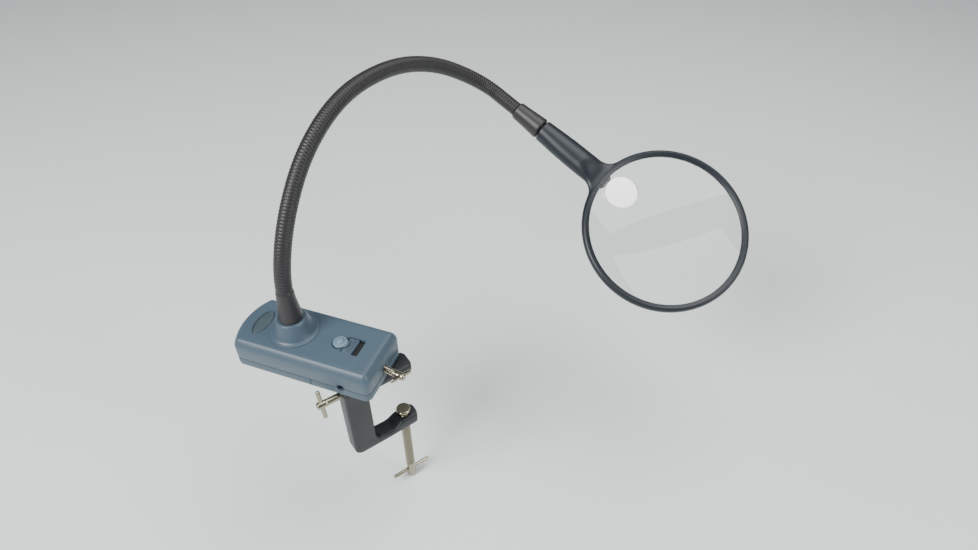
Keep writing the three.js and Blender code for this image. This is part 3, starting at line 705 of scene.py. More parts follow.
BRASS = Finish("turned brass", linear(190, 160, 92), 0.3, metallic=1.0, grain_depth=0.004)
STEEL = Finish("plain steel", linear(184, 188, 192), 0.3, metallic=1.0, grain_depth=0.004)
BOARD = Finish("lacquered board", linear(46, 106, 72), 0.4, grain_depth=0.006)
CELL = Finish("cell case", linear(160, 146, 92), 0.35, metallic=0.5, grain_depth=0.004)
LEAD = Finish("lead insulation", linear(30, 30, 31), 0.5)
LENS = ClearFinish("polished lens", (1.0, 1.0, 1.0, 1.0))
# The spot lens is no lamp; its glow is painted light that makes it read bright white.
SPOT = ClearFinish("spot lens", (0.97, 0.96, 0.95, 1.0), roughness=0.12, transmission=0.45, painted_glow=0.65)
LAMP = ClearFinish("lamp capsule", (0.98, 0.97, 0.94, 1.0), roughness=0.1, transmission=0.8)

NODE_FINISH: dict[str, Finish | ClearFinish] = {
    "shell_plastic": SHELL, "clamp_casting": CASTING, "nickel": NICKEL, "pad_rubber": RUBBER,
    "neck_sleeve": SLEEVE, "collar_plastic": COLLAR, "frame_plastic": HEAD, "inner_plastic": INNER,
    "badge_plastic": BADGE, "socket_plastic": SOCKET_AND_PAINTED_SHADE, "brass": BRASS, "steel": STEEL, "board": BOARD,
    "cell_case": CELL, "lead_insulation": LEAD, "lens_glass": LENS, "spot_glass": SPOT,
    "lamp_clear": LAMP,
}
NODE_SLOT: dict[str, str] = {
    part["node"]: part["material_slot"] for part in frame["record"]["subparts"]
}
NODE_BODY: dict[str, str] = {
    node: body for body, nodes in frame["record"]["behaviour"]["bodies"].items() for node in nodes
}


def dress(piece: Piece, finish: Finish | ClearFinish, body: str, *nodes: str) -> Piece:
    """Gives a piece its finish, its body and the CAD nodes that it stands for.

    Args:
        piece: The finished piece.
        finish: Its finish.
        body: Body that it moves with.
        nodes: CAD nodes hidden in its favour.

    Returns:
        The piece.
    """
    piece.data.materials.clear()
    piece.data.materials.append(finish.build())
    if body:
        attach(piece, body)
    if nodes:
        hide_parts(*nodes)
    LOG.info("%s: %d faces", piece.name, len(piece.data.polygons))
    return piece


def dress_frame() -> None:
    """Gives every CAD node the finish of its material slot."""
    for name, node in frame["nodes"].items():
        material = NODE_FINISH[NODE_SLOT[name]].build()
        node.data.materials.clear()
        node.data.materials.append(material)


# ---- table clamp ---------------------------------------------------------------------------


@dataclass
class TableClamp:
    """C-shaped casting with its pad. Local X runs into the table, Z is up."""

    column_back: float = -40.0
    column_front: float = -24.0
    tongue_tip: float = 7.5
    tongue_under: float = 1.5
    tongue_half: float = 7.5
    body_half: float = 6.0
    arm_tip: float = 8.4
    arm_low: float = -50.2
    arm_top: float = -45.5
    edge: float = 1.9
    waist: float = -20.0
    bore: float = 3.5
    bore_span: tuple[float, float] = (-70.0, -30.0)
    upper_stations: int = 75
    pad_half: tuple[float, float] = (6.6, 6.5)
    pad_corner: float = 3.0
    pad_edge: float = 0.35

    def place(self) -> Placement:
        """Frame of the clamp: X along the throat, from the screw bar's slide."""
        return Placement.along(np.zeros(3), (0, 0, 1), joint_axis("clamp_screw_bar_slide"))

    def curves(self) -> tuple[Array, Array]:
        """Inner and outer edge of the casting's side view, from tongue tip to arm tip.

        Both are polylines with eased corners. Their points don't face each other until
        matched() has resampled them.

        Returns:
            Two arrays of X and Z.
        """
        top = corners("clamp_frame")[1][2]
        foot = corners("clamp_frame")[0][2]
        front, back, waist, steps = self.column_front, self.column_back, self.waist, 14
        inner = [
            rounded([(self.tongue_tip, self.tongue_under), (front, self.tongue_under),
                     (front, waist)], 8.5, steps),
            rounded([(front, waist), (front, self.arm_low), (-9.5, self.arm_low),
                     (-5.0, self.arm_top - 0.5), (self.arm_tip, self.arm_top)], 6.5, steps),
        ]
        outer = [
            rounded([(self.tongue_tip, top), (back, top), (back, waist)], 2.6, steps),
            rounded([(back, waist), (back, foot), (-12.0, foot), (-4.0, foot + 0.2),
                     (self.arm_tip, foot + 0.9)], 5.0, steps),
        ]
        return np.vstack(inner), np.vstack(outer)

    def frame_shell(self) -> Shell:
        """The casting as a loft of rounded rectangles between its inner and outer edges.

        Station i spans from the inner point to the outer point, and plus and minus its half
        width across. The half width narrows as a quarter circle at both tips.

        Returns:
            The surface in the row's frame.
        """
        inner, outer = self.matched()
        x = inner[:, 0]
        upper = np.arange(len(x)) < self.upper_stations
        tongue = np.clip((x - self.column_front + 1) / 7, 0, 1) * upper
        tongue = tongue * tongue * (3 - 2 * tongue)
        half = self.body_half + (self.tongue_half - self.body_half) * tongue
        tip = np.where(upper, self.tongue_tip, self.arm_tip)
        round_tip = 2.6
        past = np.clip(1 - (tip - np.maximum(x, outer[:, 0])) / round_tip, 0, 1)
        half = half - round_tip * (1 - np.sqrt(np.clip(1 - past**2, 0, 1)))
        corner = np.linspace(0, np.pi / 2, 5)
        span = np.linalg.norm(outer - inner, axis=1)
        edge = np.minimum(self.edge, span * 0.45)
        ring = []
        for sx, sy, start in ((1, 1, 0), (-1, 1, 1), (-1, -1, 2), (1, -1, 3)):
            turn = corner + start * np.pi / 2
            ring.append(
                np.stack([
                    sx * (span / 2 - edge)[:, None] + edge[:, None] * np.cos(turn),
                    sy * (half - edge)[:, None] + edge[:, None] * np.sin(turn),
                ], axis=-1)
            )
        section = np.concatenate(ring, axis=1)
        outward = (outer - inner) / span[:, None]
        middle = (outer + inner) / 2
        plane = middle[:, None] + section[..., :1] * outward[:, None]
        grid = np.stack([plane[..., 0], section[..., 1], plane[..., 1]], axis=-1)
        return placed(loft(grid), self.place())

    def matched(self) -> tuple[Array, Array]:
        """Inner and outer edges resampled at matching shares of four stretches.

        Returns:
            Two arrays of X and Z with the same length.
        """
        inner, outer = self.curves()
        marks_inner = [(self.tongue_tip, self.tongue_under), (-15.5, self.tongue_under),
                       (-24.0, -7.0), (-24.0, -44.0), (-17.0, self.arm_low),
                       (self.arm_tip, self.arm_top)]
        top, foot = corners("clamp_frame")[1][2], corners("clamp_frame")[0][2]
        marks_outer = [(self.tongue_tip, top), (-22.0, top), (-40.0, -6.0), (-40.0, -44.0),
                       (-25.0, foot), (self.arm_tip, foot + 0.9)]
        counts = [24, 34, 24, 34, 34]
        return along_marks(inner, marks_inner, counts), along_marks(outer, marks_outer, counts)

    def build(self) -> None:
        """Makes the casting and the pad."""
        casting = make("casting_body", self.frame_shell())
        carve(casting, [make("cutter", rod(self.bore, *self.bore_span, 48))])
        casting.name = "clamp_casting"
        dress(casting, CASTING, "clamp", "clamp_frame")
        low, high = corners("jaw_pad")
        long, wide = self.pad_half
        plan = rounded_rectangle(-long, long, -wide, wide, self.pad_corner)
        pad = slab(plan, low[2], high[2], self.pad_edge)
        dress(make("jaw_pad_rubber", placed(pad, self.place())), RUBBER, "clamp", "jaw_pad")


def along_marks(line: Array, marks: list[tuple[float, float]], counts: list[int]) -> Array:
    """Line resampled so that each stretch between two marks gets its own number of points.

    Args:
        line: Polyline of X and Z.
        marks: Points near the line, in order.
        counts: Points on each stretch.

    Returns:
        The resampled line.
    """
    length = np.concatenate([[0], np.cumsum(np.linalg.norm(np.diff(line, axis=0), axis=1))])
    fine = np.linspace(0, length[-1], 4000)
    dense = np.stack([np.interp(fine, length, line[:, k]) for k in (0, 1)], axis=-1)
    at = [fine[np.argmin(np.linalg.norm(dense - np.array(mark), axis=1))] for mark in marks]
    stops = np.concatenate(
        [np.linspace(a, b, count, endpoint=False) for a, b, count in zip(at, at[1:], counts)]
        + [[at[-1]]]
    )
    return np.stack([np.interp(stops, length, line[:, k]) for k in (0, 1)], axis=-1)


# ---- screws and bars -----------------------------------------------------------------------


def threaded(radius: float, low: float, high: float, pitch: float, depth: float,
             sides: int = 40) -> Array:
    """Grid of a threaded shank.

    The radius is the outside radius less depth times a rounded triangle wave of the height
    over the pitch minus the angle over a full turn, faded out over the last turns.

    Args:
        radius: Outside radius.
        low: Lower end of the thread.
        high: Upper end of the thread.
        pitch: Height of one turn.
        depth: Depth of the thread.
        sides: Number of sides.

    Returns:
        Grid of heights by sides.
    """
    height = np.linspace(low, high, int((high - low) / pitch * 8) + 1)
    angle = np.linspace(0, 2 * np.pi, sides, endpoint=False)
    phase = height[:, None] / pitch - angle[None] / (2 * np.pi)
    wave = 0.5 - 0.5 * np.cos(2 * np.pi * phase)
    fade = np.clip(np.minimum(height - low, high - height) / (1.5 * pitch), 0, 1)[:, None]
    r = radius - depth * wave * fade
    return np.stack(
        [r * np.cos(angle), r * np.sin(angle), np.repeat(height[:, None], sides, axis=1)], axis=-1
    )


def screw_shell(profile_low: list[tuple[float, float]], thread: Array,
                profile_high: list[tuple[float, float]], place: Placement) -> Shell:
    """Screw whose threaded grid lies between two turned ends, all on one axis.

    Args:
        profile_low: Radius and height of the lower end.
        thread: Grid of the threaded shank.
        profile_high: Radius and height of the upper end.
        place: Frame whose Z is the screw's axis.

    Returns:
        The surface.
    """
    sides = thread.shape[1]
    lower = revolve(rounded(profile_low, 0.35), sides)
    upper = revolve(rounded(profile_high, 0.35), sides)
    return placed(loft(np.concatenate([lower, thread, upper])), place)


def bar_shell(centre: Array, direction: Array, radius: float, length: float) -> Shell:
    """Sliding bar with fully rounded ends.

    The radius follows a quarter circle at each end, radius times sin t.

    Args:
        centre: Middle of the bar.
        direction: Direction of its axis.
        radius: Radius of the bar.
        length: Length over both ends.

    Returns:
        The surface.
    """
    turn = np.linspace(0, np.pi / 2, 8)
    end = np.stack([radius * np.sin(turn), radius * (1 - np.cos(turn))], axis=-1)
    half = length / 2
    low = np.stack([end[:, 0], -half + end[:, 1]], axis=-1)
    high = np.stack([end[::-1, 0], half - end[::-1, 1]], axis=-1)
    low[0, 0] = high[-1, 0] = AXIS
    return placed(loft(revolve(np.vstack([low, high]), 32)), Placement.along(centre, direction))


@dataclass
class LockScrew:
    """Thumb screw with a sliding bar that presses a brass tip on the post."""

    name: str
    body: str
    reach: float
    bar_at: float
    radius: float = 2.3
    bar_radius: float = 1.4
    bar_length: float = 21.0
    start: float = 7.0
    pitch: float = 0.7
    depth: float = 0.16
    thread_share: float = 0.55

    def build(self) -> None:
        """Makes the screw and its bar from the joints' axes."""
        origin = joint_place(f"{self.name}_turn")
        axis = joint_axis(f"{self.name}_turn")
        place = Placement.along(origin, axis)
        thread_end = self.start + (self.reach - self.start) * self.thread_share
        thread = threaded(self.radius, self.start + 0.5, thread_end, self.pitch, self.depth, 32)
        low = [(AXIS, self.start), (self.radius - 0.3, self.start),
               (self.radius, self.start + 0.45)]
        head = self.radius * 1.05
        high = [(self.radius, thread_end + 0.2), (self.radius, self.bar_at - 3.2),
                (head, self.bar_at - 2.6), (head, self.reach - 1.1),
                (head - 0.75, self.reach - 0.25), (AXIS, self.reach)]
        shell = screw_shell(low, thread, high, place)
        dress(make(f"{self.name}_shank", shell), NICKEL, self.body, f"{self.name}_screw")
        centre = origin + axis * self.bar_at
        slide = joint_axis(f"{self.name}_bar_slide")
        bar = bar_shell(centre, slide, self.bar_radius, self.bar_length)
        dress(make(f"{self.name}_pin", bar), NICKEL, f"{self.body}_handle", f"{self.name}_bar")


@dataclass
class ClampScrew:
    """Upright screw with its pressure foot and long bar."""

    radius: float = 3.2
    pitch: float = 1.27
    depth: float = 0.34
    plain_length: float = 14.5
    bar_height: float = -112.8
    bar_radius: float = 1.4
    bar_length: float = 30.0

    def build(self) -> None:
        """Makes the screw, the foot and the bar."""
        place = Placement.along(np.zeros(3), (0, 0, 1))
        low, high = corners("clamp_screw")
        bottom, top = low[2], high[2]
        thread = threaded(
            self.radius, bottom + self.plain_length, top - 1.0, self.pitch, self.depth
        )
        ends_low = [(AXIS, bottom), (self.radius - 1.0, bottom), (self.radius, bottom + 0.9),
                    (self.radius, bottom + 14.3)]
        ends_high = [(self.radius, top - 0.8), (self.radius - 0.6, top), (AXIS, top)]
        dress(make("clamp_screw_shank", screw_shell(ends_low, thread, ends_high, place)),
              NICKEL, "screw", "clamp_screw")
        foot_low, foot_high = corners("pressure_foot")
        face = foot_high[2]
        profile = [(AXIS, foot_low[2]), (2.3, foot_low[2]), (2.3, face - 2.6), (2.9, face - 2.2),
                   (4.6, face - 1.9), (5.0, face - 1.5), (5.0, face - 0.5), (4.5, face),
                   (AXIS, face)]
        dress(make("foot_disc", turned(profile, place, 56)), NICKEL, "foot", "pressure_foot")
        centre = np.array([0, 0, self.bar_height])
        slide = joint_axis("clamp_screw_bar_slide")
        bar = bar_shell(centre, slide, self.bar_radius, self.bar_length)
        dress(make("clamp_screw_pin", bar), NICKEL, "screw_handle", "clamp_screw_bar")


# ---- battery housing -----------------------------------------------------------------------


@dataclass
class Housing:
    """Two-part plastic case. Local origin is under the turret, Z is up from the underside."""

    half: float = 21.7
    right: float = 61.4
    left: float = -37.5
    end_radius: float = 39.5
    corner: float = 4.5
    parting: float = 6.3
    shoulder: float = 15.6
    top: float = 20.9
    wall: float = 2.0
    door_end: float = 21.3
    door_gap: float = 0.25
    lock_hole: float = 2.55
    jack_hole: float = 2.2
    jack_flare: float = 2.9
    jack_span: tuple[float, float] = (-3.0, 6.0)
    turret_hole: float = 9.5
    post_hole: float = 4.7
    well_radius: float = 2.9
    shoulder_width: float = 3.6
    shoulder_power: float = 1.4
    bottom_edge: float = 1.3
    button_x: float = 32.4
    slot: tuple[float, float, float] = (35.4, 47.0, 6.6)
    badge: tuple[float, float, float, float] = (-22.3, -0.8, 4.6, 10.2)
    wells: list[tuple[float, float]] = field(default_factory=lambda: [(27.5, 15.5), (57.0, -16.2)])

    def place(self) -> Placement:
        """Frame of the housing, from the gland nut's centre and the door's underside.

        Returns:
            The frame, with its origin under the turret.
        """
        low, high = corners("neck_gland_nut")
        centre = (low + high) / 2
        floor = corners("battery_door")[0][2]
        return Placement.along(np.array([centre[0], centre[1], floor]), (0, 0, 1))

    def outline(self, inset: float, steps: int = 10) -> Array:
        """Plan of the case moved inwards by inset.

        Straight sides, a straight right end with round corners, and a left end that bulges as
        a large arc, joined to the sides by small arcs tangent to both.

        Args:
            inset: Distance moved inwards.
            steps: Points on each small arc.

        Returns:
            Closed plan, counter-clockwise, always with the same number of points.
        """
        h = self.half - inset
        r = max(self.corner - inset, 0.5)
        big = self.end_radius - inset
        centre_x = self.left + self.end_radius
        small_x = centre_x - math.sqrt((big - r) ** 2 - (h - r) ** 2)
        reach = math.atan2(h - r, centre_x - small_x)
        right = self.right - inset

        def arc(cx: float, cy: float, radius: float, start: float, end: float, count: int) -> Array:
            """Points of a circle between two angles."""
            turn = np.linspace(start, end, count)
            return np.stack([cx + radius * np.cos(turn), cy + radius * np.sin(turn)], axis=-1)

        quarter = math.pi / 2
        side = np.linspace(0, 1, 14)[1:-1, None]
        bottom = np.array([[small_x, -h]]) * (1 - side) + np.array([[right - r, -h]]) * side
        end = np.array([[right, -h + r]]) * (1 - side) + np.array([[right, h - r]]) * side
        upper = np.array([[right - r, h]]) * (1 - side) + np.array([[small_x, h]]) * side
        return np.vstack([
            bottom,
            arc(right - r, -h + r, r, -quarter, 0, steps),
            end,
            arc(right - r, h - r, r, 0, quarter, steps),
            upper,
            arc(small_x, h - r, r, quarter, math.pi - reach, steps)[:-1],
            arc(centre_x, 0, big, math.pi - reach, math.pi + reach, 25),
            arc(small_x, -h + r, r, math.pi + reach, 3 * quarter, steps)[1:],
        ])

    def case(self, profile: Array) -> Shell:
        """Closed case whose section follows a profile all the way round.

        Each ring is the outline at one inset and height. The two ends are closed by a ring
        half way to the middle and a fan.

        Args:
            profile: Rows of inset and height.

        Returns:
            The surface, in the housing's frame.
        """
        rings = [self.outline(inset) for inset, _ in profile]
        grid = np.array([
            np.column_stack([ring, np.full(len(ring), height)])
            for ring, (_, height) in zip(rings, profile)
        ])
        centre = grid.mean(axis=1, keepdims=True)
        first = (centre[:1] + grid[:1]) / 2
        last = (centre[-1:] + grid[-1:]) / 2
        return loft(np.concatenate([first, grid, last]))

    def cover_profile(self) -> Array:
        """Section of the top cover: roof, shoulder, side, rim, inner side, ceiling.

        The shoulder is a quarter of a superellipse of a power below two, so it reads as an
        eased chamfer.

        Returns:
            Rows of inset and height.
        """
        seam = self.parting + 0.2
        turn = np.linspace(0, np.pi / 2, 9)
        wide, tall, power = self.shoulder_width, self.top - self.shoulder, 2 / self.shoulder_power
        inset = wide * (1 - np.sin(turn) ** power)
        shoulder = np.stack([inset, self.shoulder + tall * np.cos(turn) ** power], axis=-1)
        roof = self.top - self.wall
        inside = [(self.wall, seam), (self.wall, roof - 3), (self.wall + 0.8, roof - 0.8),
                  (self.wall + 3, roof), (self.wall + 5, roof)]
        rim = [(0.0, seam + 0.12), (0.06, seam + 0.02), (0.2, seam)]
        flat, side = [(wide + 2.5, self.top)], [(0.0, self.shoulder - 2)]
        return np.vstack([flat, shoulder, side, rim, inside])

    def tray_profile(self) -> Array:
        """Section of the lower case: underside, bottom edge, side, rim, inner side, floor.

        The bottom edge is a quarter circle.

        Returns:
            Rows of inset and height.
        """
        seam = self.parting - 0.2
        turn = np.linspace(0, np.pi / 2, 6)
        edge = self.bottom_edge
        corner = np.stack([edge * (1 - np.sin(turn)), edge * (1 - np.cos(turn))], axis=-1)
        rim = [(0.0, seam - 0.12), (0.06, seam - 0.02), (0.2, seam)]
        inside = [(self.wall, seam), (self.wall, self.wall + 0.6), (self.wall + 0.6, self.wall),
                  (self.wall + 3, self.wall)]
        return np.vstack([[(edge + 3, 0.0)], corner, rim, inside])

    def cutter(self, shell: Shell) -> Piece:
        """Temporary body used to cut the case."""
        return make("cutter", placed(shell, self.place()))

    def block(self, x0: float, x1: float, y0: float, y1: float, z0: float, z1: float,
              radius: float = 0.6) -> Shell:
        """Upright block with rounded vertical edges."""
        return slab(rounded_rectangle(x0, x1, y0, y1, radius), z0, z1, 0.01, 2)

    def column(self, x: float, y: float, radius: float, z0: float, z1: float) -> Shell:
        """Upright round column."""
        shell = rod(radius, z0, z1, 40)
        return Shell(shell.points + np.array([x, y, 0]), shell.faces)

    def inlet_hole(self) -> Piece:
        """Temporary body that opens the power inlet."""
        return make("cutter", placed(rod(self.jack_hole, *self.jack_span), joint_jack()))

    def build_cover(self) -> None:
        """Top cover with its turret, switch slot, badge recess and side holes."""
        place = self.place()
        cover = make("cover_body", placed(self.case(self.cover_profile()), place))
        x0, x1, half = self.slot
        lock = Placement.along(joint_place("housing_lock_turn"), joint_axis("housing_lock_turn"))
        lock_hole = placed(rod(self.lock_hole, 2.0, 22.0), lock)
        flare = [(self.jack_flare, -3.0), (self.jack_flare, 0.4), (self.jack_hole, 0.9)]
        cutters = [
            self.cutter(self.block(x0, x1, -half, half, self.top - 6, self.top + 3, 1.0)),
            self.cutter(
                slab(ellipse(*self.badge_plan(0.3)), self.top - 0.8, self.top + 3, 0.01, 2)
            ),
            self.cutter(self.block(26.9, 38.1, -5.45, 5.45, self.top - 0.9, self.top + 3, 5.4)),
            self.cutter(self.column(0, 0, self.turret_hole, self.top - 6, self.top + 3)),
            make("cutter", lock_hole),
            self.inlet_hole(),
            make("cutter", placed(loft(revolve(np.array(flare), 32)), joint_jack())),
        ]
        carve(cover, cutters)
        rim = self.top
        profile = [(9.0, rim - 2.0), (15.4, rim - 1.0), (15.5, rim + 0.45), (15.1, rim + 0.7),
                   (14.3, rim + 0.8), (13.2, rim + 1.7), (11.9, rim + 4.4), (10.3, rim + 8.6),
                   (9.5, rim + 10.8), (8.9, rim + 11.5), (4.3, rim + 11.5), (4.3, rim + 4.1),
                   (9.0, rim + 4.1), (9.0, rim - 2.0)]
        turret = placed(loft(revolve(rounded(profile, 0.3, 5)[:-1], 72), closed=True), place)
        turret_piece = make("turret_body", turret)
        piece = merged("cover_shell", [cover, turret_piece])
        dress(piece, SHELL, "housing", "top_cover")

    def badge_plan(self, extra: float) -> tuple[float, float, float, float]:
        """Centre and half sizes of the badge, made larger all round."""
        x, y, rx, ry = self.badge
        return x, y, rx + extra, ry + extra

    def build_lower(self) -> None:
        """Bottom cover and battery door, cut from one tray."""
        place = self.place()
        sides = {
            "bottom_cover": (-100.0, self.door_end + self.door_gap),
            "battery_door": (self.door_end - self.door_gap, 100.0),
        }
        for node, (x0, x1) in sides.items():
            tray = make(f"{node}_tray", placed(self.case(self.tray_profile()), place))
            away = [self.cutter(self.block(x0, x1, -60, 60, -5, 12, 0.1))]
            if node == "bottom_cover":
                low, high = corners("swivel_post")
                post = place_inverse(place, (low + high) / 2)
                away.append(self.cutter(self.column(post[0], post[1], self.post_hole, -2, 4)))
                away += [
                    self.cutter(self.column(x, y, self.well_radius, -2, 2.4)) for x, y in self.wells
                ]
                away.append(self.inlet_hole())
            carve(tray, away)
            tray.name = f"{node}_shell"
            dress(tray, SHELL, NODE_BODY[node], node)

    def build_badge(self) -> None:
        """Plain oval inlay with a raised rim."""
        place = self.place()
        face = slab(ellipse(*self.badge_plan(0.0)), self.top - 0.7, self.top - 0.18, 0.2)
        x, y, rx, ry = self.badge
        turn = np.linspace(0, 2 * np.pi, 72, endpoint=False)
        small = np.linspace(0, 2 * np.pi, 10, endpoint=False)
        rim_r = 0.28
        radial = np.stack([np.cos(turn), np.sin(turn)], axis=-1)
        base = np.array([x, y]) + radial * np.array([rx - 0.35, ry - 0.35])
        grid = np.stack([
            base[:, None, 0] + radial[:, None, 0] * rim_r * np.cos(small),
            base[:, None, 1] + radial[:, None, 1] * rim_r * np.cos(small),
            self.top - 0.18 + rim_r * np.sin(small)[None].repeat(len(turn), axis=0),
        ], axis=-1)
        rim = placed(loft(grid, closed=True), place)
        dress(make("badge_inlay", placed(face, place), rim), BADGE, "housing", "badge")

    def build_knob(self) -> None:
        """Switch slider: a plate with grip ribs and a round button at its left end, over a near-black skirt that
        paints the shade in the well.
        """
        place = self.place()
        x0 = self.slot[0] + 0.3
        x1, half = 42.6, self.slot[2] - 0.4
        under = self.top - self.wall - 0.3
        plate = slab(rounded_rectangle(x0, x1, -half, half, 0.8), under - 0.9, self.top - 0.35, 0.3)
        # Skirt under the slot, kept dark so that it paints the shade in the switch well.
        skirt = slab(rounded_rectangle(x0 - 2.2, 51.5, -7.8, 7.8, 0.5), under - 0.9, under, 0.1, 2)
        stem = slab(rounded_rectangle(37.6, 40.2, -1.2, 1.2, 0.3), 15.4, under, 0.1, 2)
        bridge = slab(rounded_rectangle(x0 - 4.5, x0 + 2.4, -2.6, 2.6, 1.0), self.top - 1.0,
                      self.top + 1.0, 0.4)
        ribs = [
            slab(rounded_rectangle(x, x + 0.7, -half + 1.2, half - 1.2, 0.3), self.top - 0.8,
                 self.top + 0.1, 0.2, 3)
            for x in (38.9, 40.2, 41.5)
        ]
        top = self.top
        disc = [(AXIS, top - 0.6), (4.4, top - 0.6), (4.7, top + 0.3), (4.6, top + 1.2),
                (4.0, top + 1.55), (3.0, top + 1.6), (2.7, top + 1.65), (2.5, top + 2.2),
                (1.8, top + 2.75), (0.9, top + 2.95), (AXIS, top + 3.0)]
        here = Placement(place.put([self.button_x, 0, 0]), place.axes)
        button = turned(disc, here, 56, 0.3)
        flat = [placed(shell, place) for shell in (plate, stem, bridge, *ribs)]
        dress(make("switch_slider", *flat), SHELL, "knob", "switch_knob")
        dress(make("switch_button", button), BUTTON, "knob")
        # The skirt's near-black finish is painted shade in the switch well.
        dress(make("switch_skirt_painted_shade", placed(skirt, place)), SOCKET_AND_PAINTED_SHADE, "knob")

    def build(self) -> None:
        """Makes every visible piece of the case."""
        self.build_cover()
        self.build_lower()
        self.build_badge()
        self.build_knob()


def place_inverse(place: Placement, point: Array) -> Array:
    """A point of the row's frame seen from a local frame."""
    return (np.asarray(point, float) - place.origin) @ place.axes.T


def joint_jack() -> Placement:
    """Frame of the power inlet: origin on the case's side, Z inwards along Y.

    Returns:
        The frame.
    """
    low, high = corners("dc_socket")
    side = corners("top_cover")[0][1]
    return Placement.along(np.array([low[0] + 4.5, side, low[2] + 4.0]), (0, 1, 0))


# ---- gooseneck -----------------------------------------------------------------------------


@dataclass
class Gooseneck:
    """Ribbed flexible tube along a smooth curve through the neck's joints."""

    radius: float = 5.1
    rib_pitch: float = 1.95
    rib_depth: float = 0.16
    rib_growth: float = 0.26
    collar_length: float = 22.0
    collar_radius: float = 7.75
    collar_tip: float = 5.45
    sides: int = 40
    reach: float = 13.0

    def names(self) -> list[str]:
        """Names of the neck's joints, from the housing to the head."""
        return [f"neck_{kind}_{step}" for step in range(1, 5) for kind in ("bend", "sway")]

    def bodies(self) -> list[str]:
        """Bodies from the housing to the head collar."""
        return ["housing", *[f"link_{step}" for step in range(1, 8)], "neck_end"]

    def knots(self) -> Array:
        """Start of the neck on the turret and the centre of every joint.

        Returns:
            Rows of X, Y and Z.
        """
        low, high = corners("neck_gland_nut")
        centre = (low + high) / 2
        top = corners("top_cover")[1][2]
        start = np.array([centre[0], centre[1], top])
        return np.vstack([start, [joint_place(name) for name in self.names()]])

    def curve(self) -> tuple[Array, Array]:
        """Centre line as dense points with their arc lengths.

        Each span between two knots is a cubic curve. It leaves and arrives along the chord
        between the knots on either side, with control points a third of the span away. The
        last stretch runs straight into the head along its axis.

        Returns:
            Points, and the arc length at each.
        """
        knots = self.knots()
        axis = joint_axis("head_twist")
        tangents = [np.array([0.0, 0.0, 1.0])]
        tangents += [unit(after - before) for before, after in zip(knots[:-2], knots[2:])]
        tangents += [axis]
        share = np.linspace(0, 1, 60, endpoint=False)[:, None]
        spans = []
        for a, b, leave, arrive in zip(knots[:-1], knots[1:], tangents[:-1], tangents[1:]):
            pull = np.linalg.norm(b - a) / 3
            c, d = a + leave * pull, b - arrive * pull
            spans.append((1 - share) ** 3 * a + 3 * share * (1 - share) ** 2 * c
                         + 3 * share**2 * (1 - share) * d + share**3 * b)
        spans.append(knots[-1] + axis * np.linspace(0, 60, 100)[:, None])
        line = np.vstack(spans)
        step = np.linalg.norm(np.diff(line, axis=0), axis=1)
        return line, np.concatenate([[0], np.cumsum(step)])

    def tube(self, start: float, end: float, law: tuple[Array, Array] | None = None,
             step: float = 0.24) -> Shell:
        """Tube between two arc lengths.

        Every station is a circle square to the centre line, turned so that it doesn't twist
        against one fixed direction. Its radius is the sleeve's, less the rib depth times a
        squared raised cosine of the arc length over the pitch, or follows the given law. The
        ribs deepen evenly from the housing to the head.

        Args:
            start: Arc length where it starts.
            end: Arc length where it ends.
            law: Arc lengths and radii of a smooth collar.
            step: Distance between stations.

        Returns:
            The surface.
        """
        line, arc = self.curve()
        count = max(int((end - start) / step), 8)
        at = np.linspace(start, end, count)
        if law is not None:
            at = np.unique(np.concatenate([at, law[0]]))
        centre = np.stack([np.interp(at, arc, line[:, k]) for k in range(3)], axis=-1)
        ahead = np.stack([np.interp(at + 0.6, arc, line[:, k]) for k in range(3)], axis=-1)
        behind = np.stack([np.interp(at - 0.6, arc, line[:, k]) for k in range(3)], axis=-1)
        behind[at < 0.6] -= np.array([0, 0, 0.6])
        tangent = ahead - behind
        tangent /= np.linalg.norm(tangent, axis=1, keepdims=True)
        hint = np.array([1.0, 0.35, 0.25])
        side = hint - (tangent @ hint)[:, None] * tangent
        side /= np.linalg.norm(side, axis=1, keepdims=True)
        up = np.cross(tangent, side)
        if law is None:
            wave = 0.5 + 0.5 * np.cos(2 * np.pi * at / self.rib_pitch)
            depth = self.rib_depth + self.rib_growth * at / arc[-1]
            radius = self.radius - depth * wave**2
        else:
            radius = np.interp(at, *law)
        turn = np.linspace(0, 2 * np.pi, self.sides, endpoint=False)
        grid = centre[:, None] + radius[:, None, None] * (
            np.cos(turn)[None, :, None] * side[:, None] + np.sin(turn)[None, :, None] * up[:, None]
        )
        return loft(grid)

    def stations(self) -> Array:
        """Arc length of the neck's start and of every joint.

        Returns:
            One arc length for each knot.
        """
        line, arc = self.curve()
        return np.array([
            arc[np.argmin(np.linalg.norm(line - knot, axis=1))] for knot in self.knots()
        ])

    def point(self, at: float) -> Array:
        """Point of the centre line at an arc length, in metres."""
        line, arc = self.curve()
        return np.array([np.interp(at, arc, line[:, k]) for k in range(3)]) * MM

    def build_base_collar(self) -> None:
        """Collar that flares onto the turret: its radius grows as a power towards the base."""
        share = np.linspace(0, 1, 40)
        at = 0.35 + share * self.collar_length
        radius = self.collar_tip + (self.collar_radius - self.collar_tip) * (1 - share) ** 1.5
        radius[:2] -= np.array([0.35, 0.1])
        radius[-3:] -= np.array([0.02, 0.12, 0.4])
        shell = self.tube(at[0], at[-1], (at, radius))
        dress(make("base_collar", shell), COLLAR, "housing", "neck_base_collar")

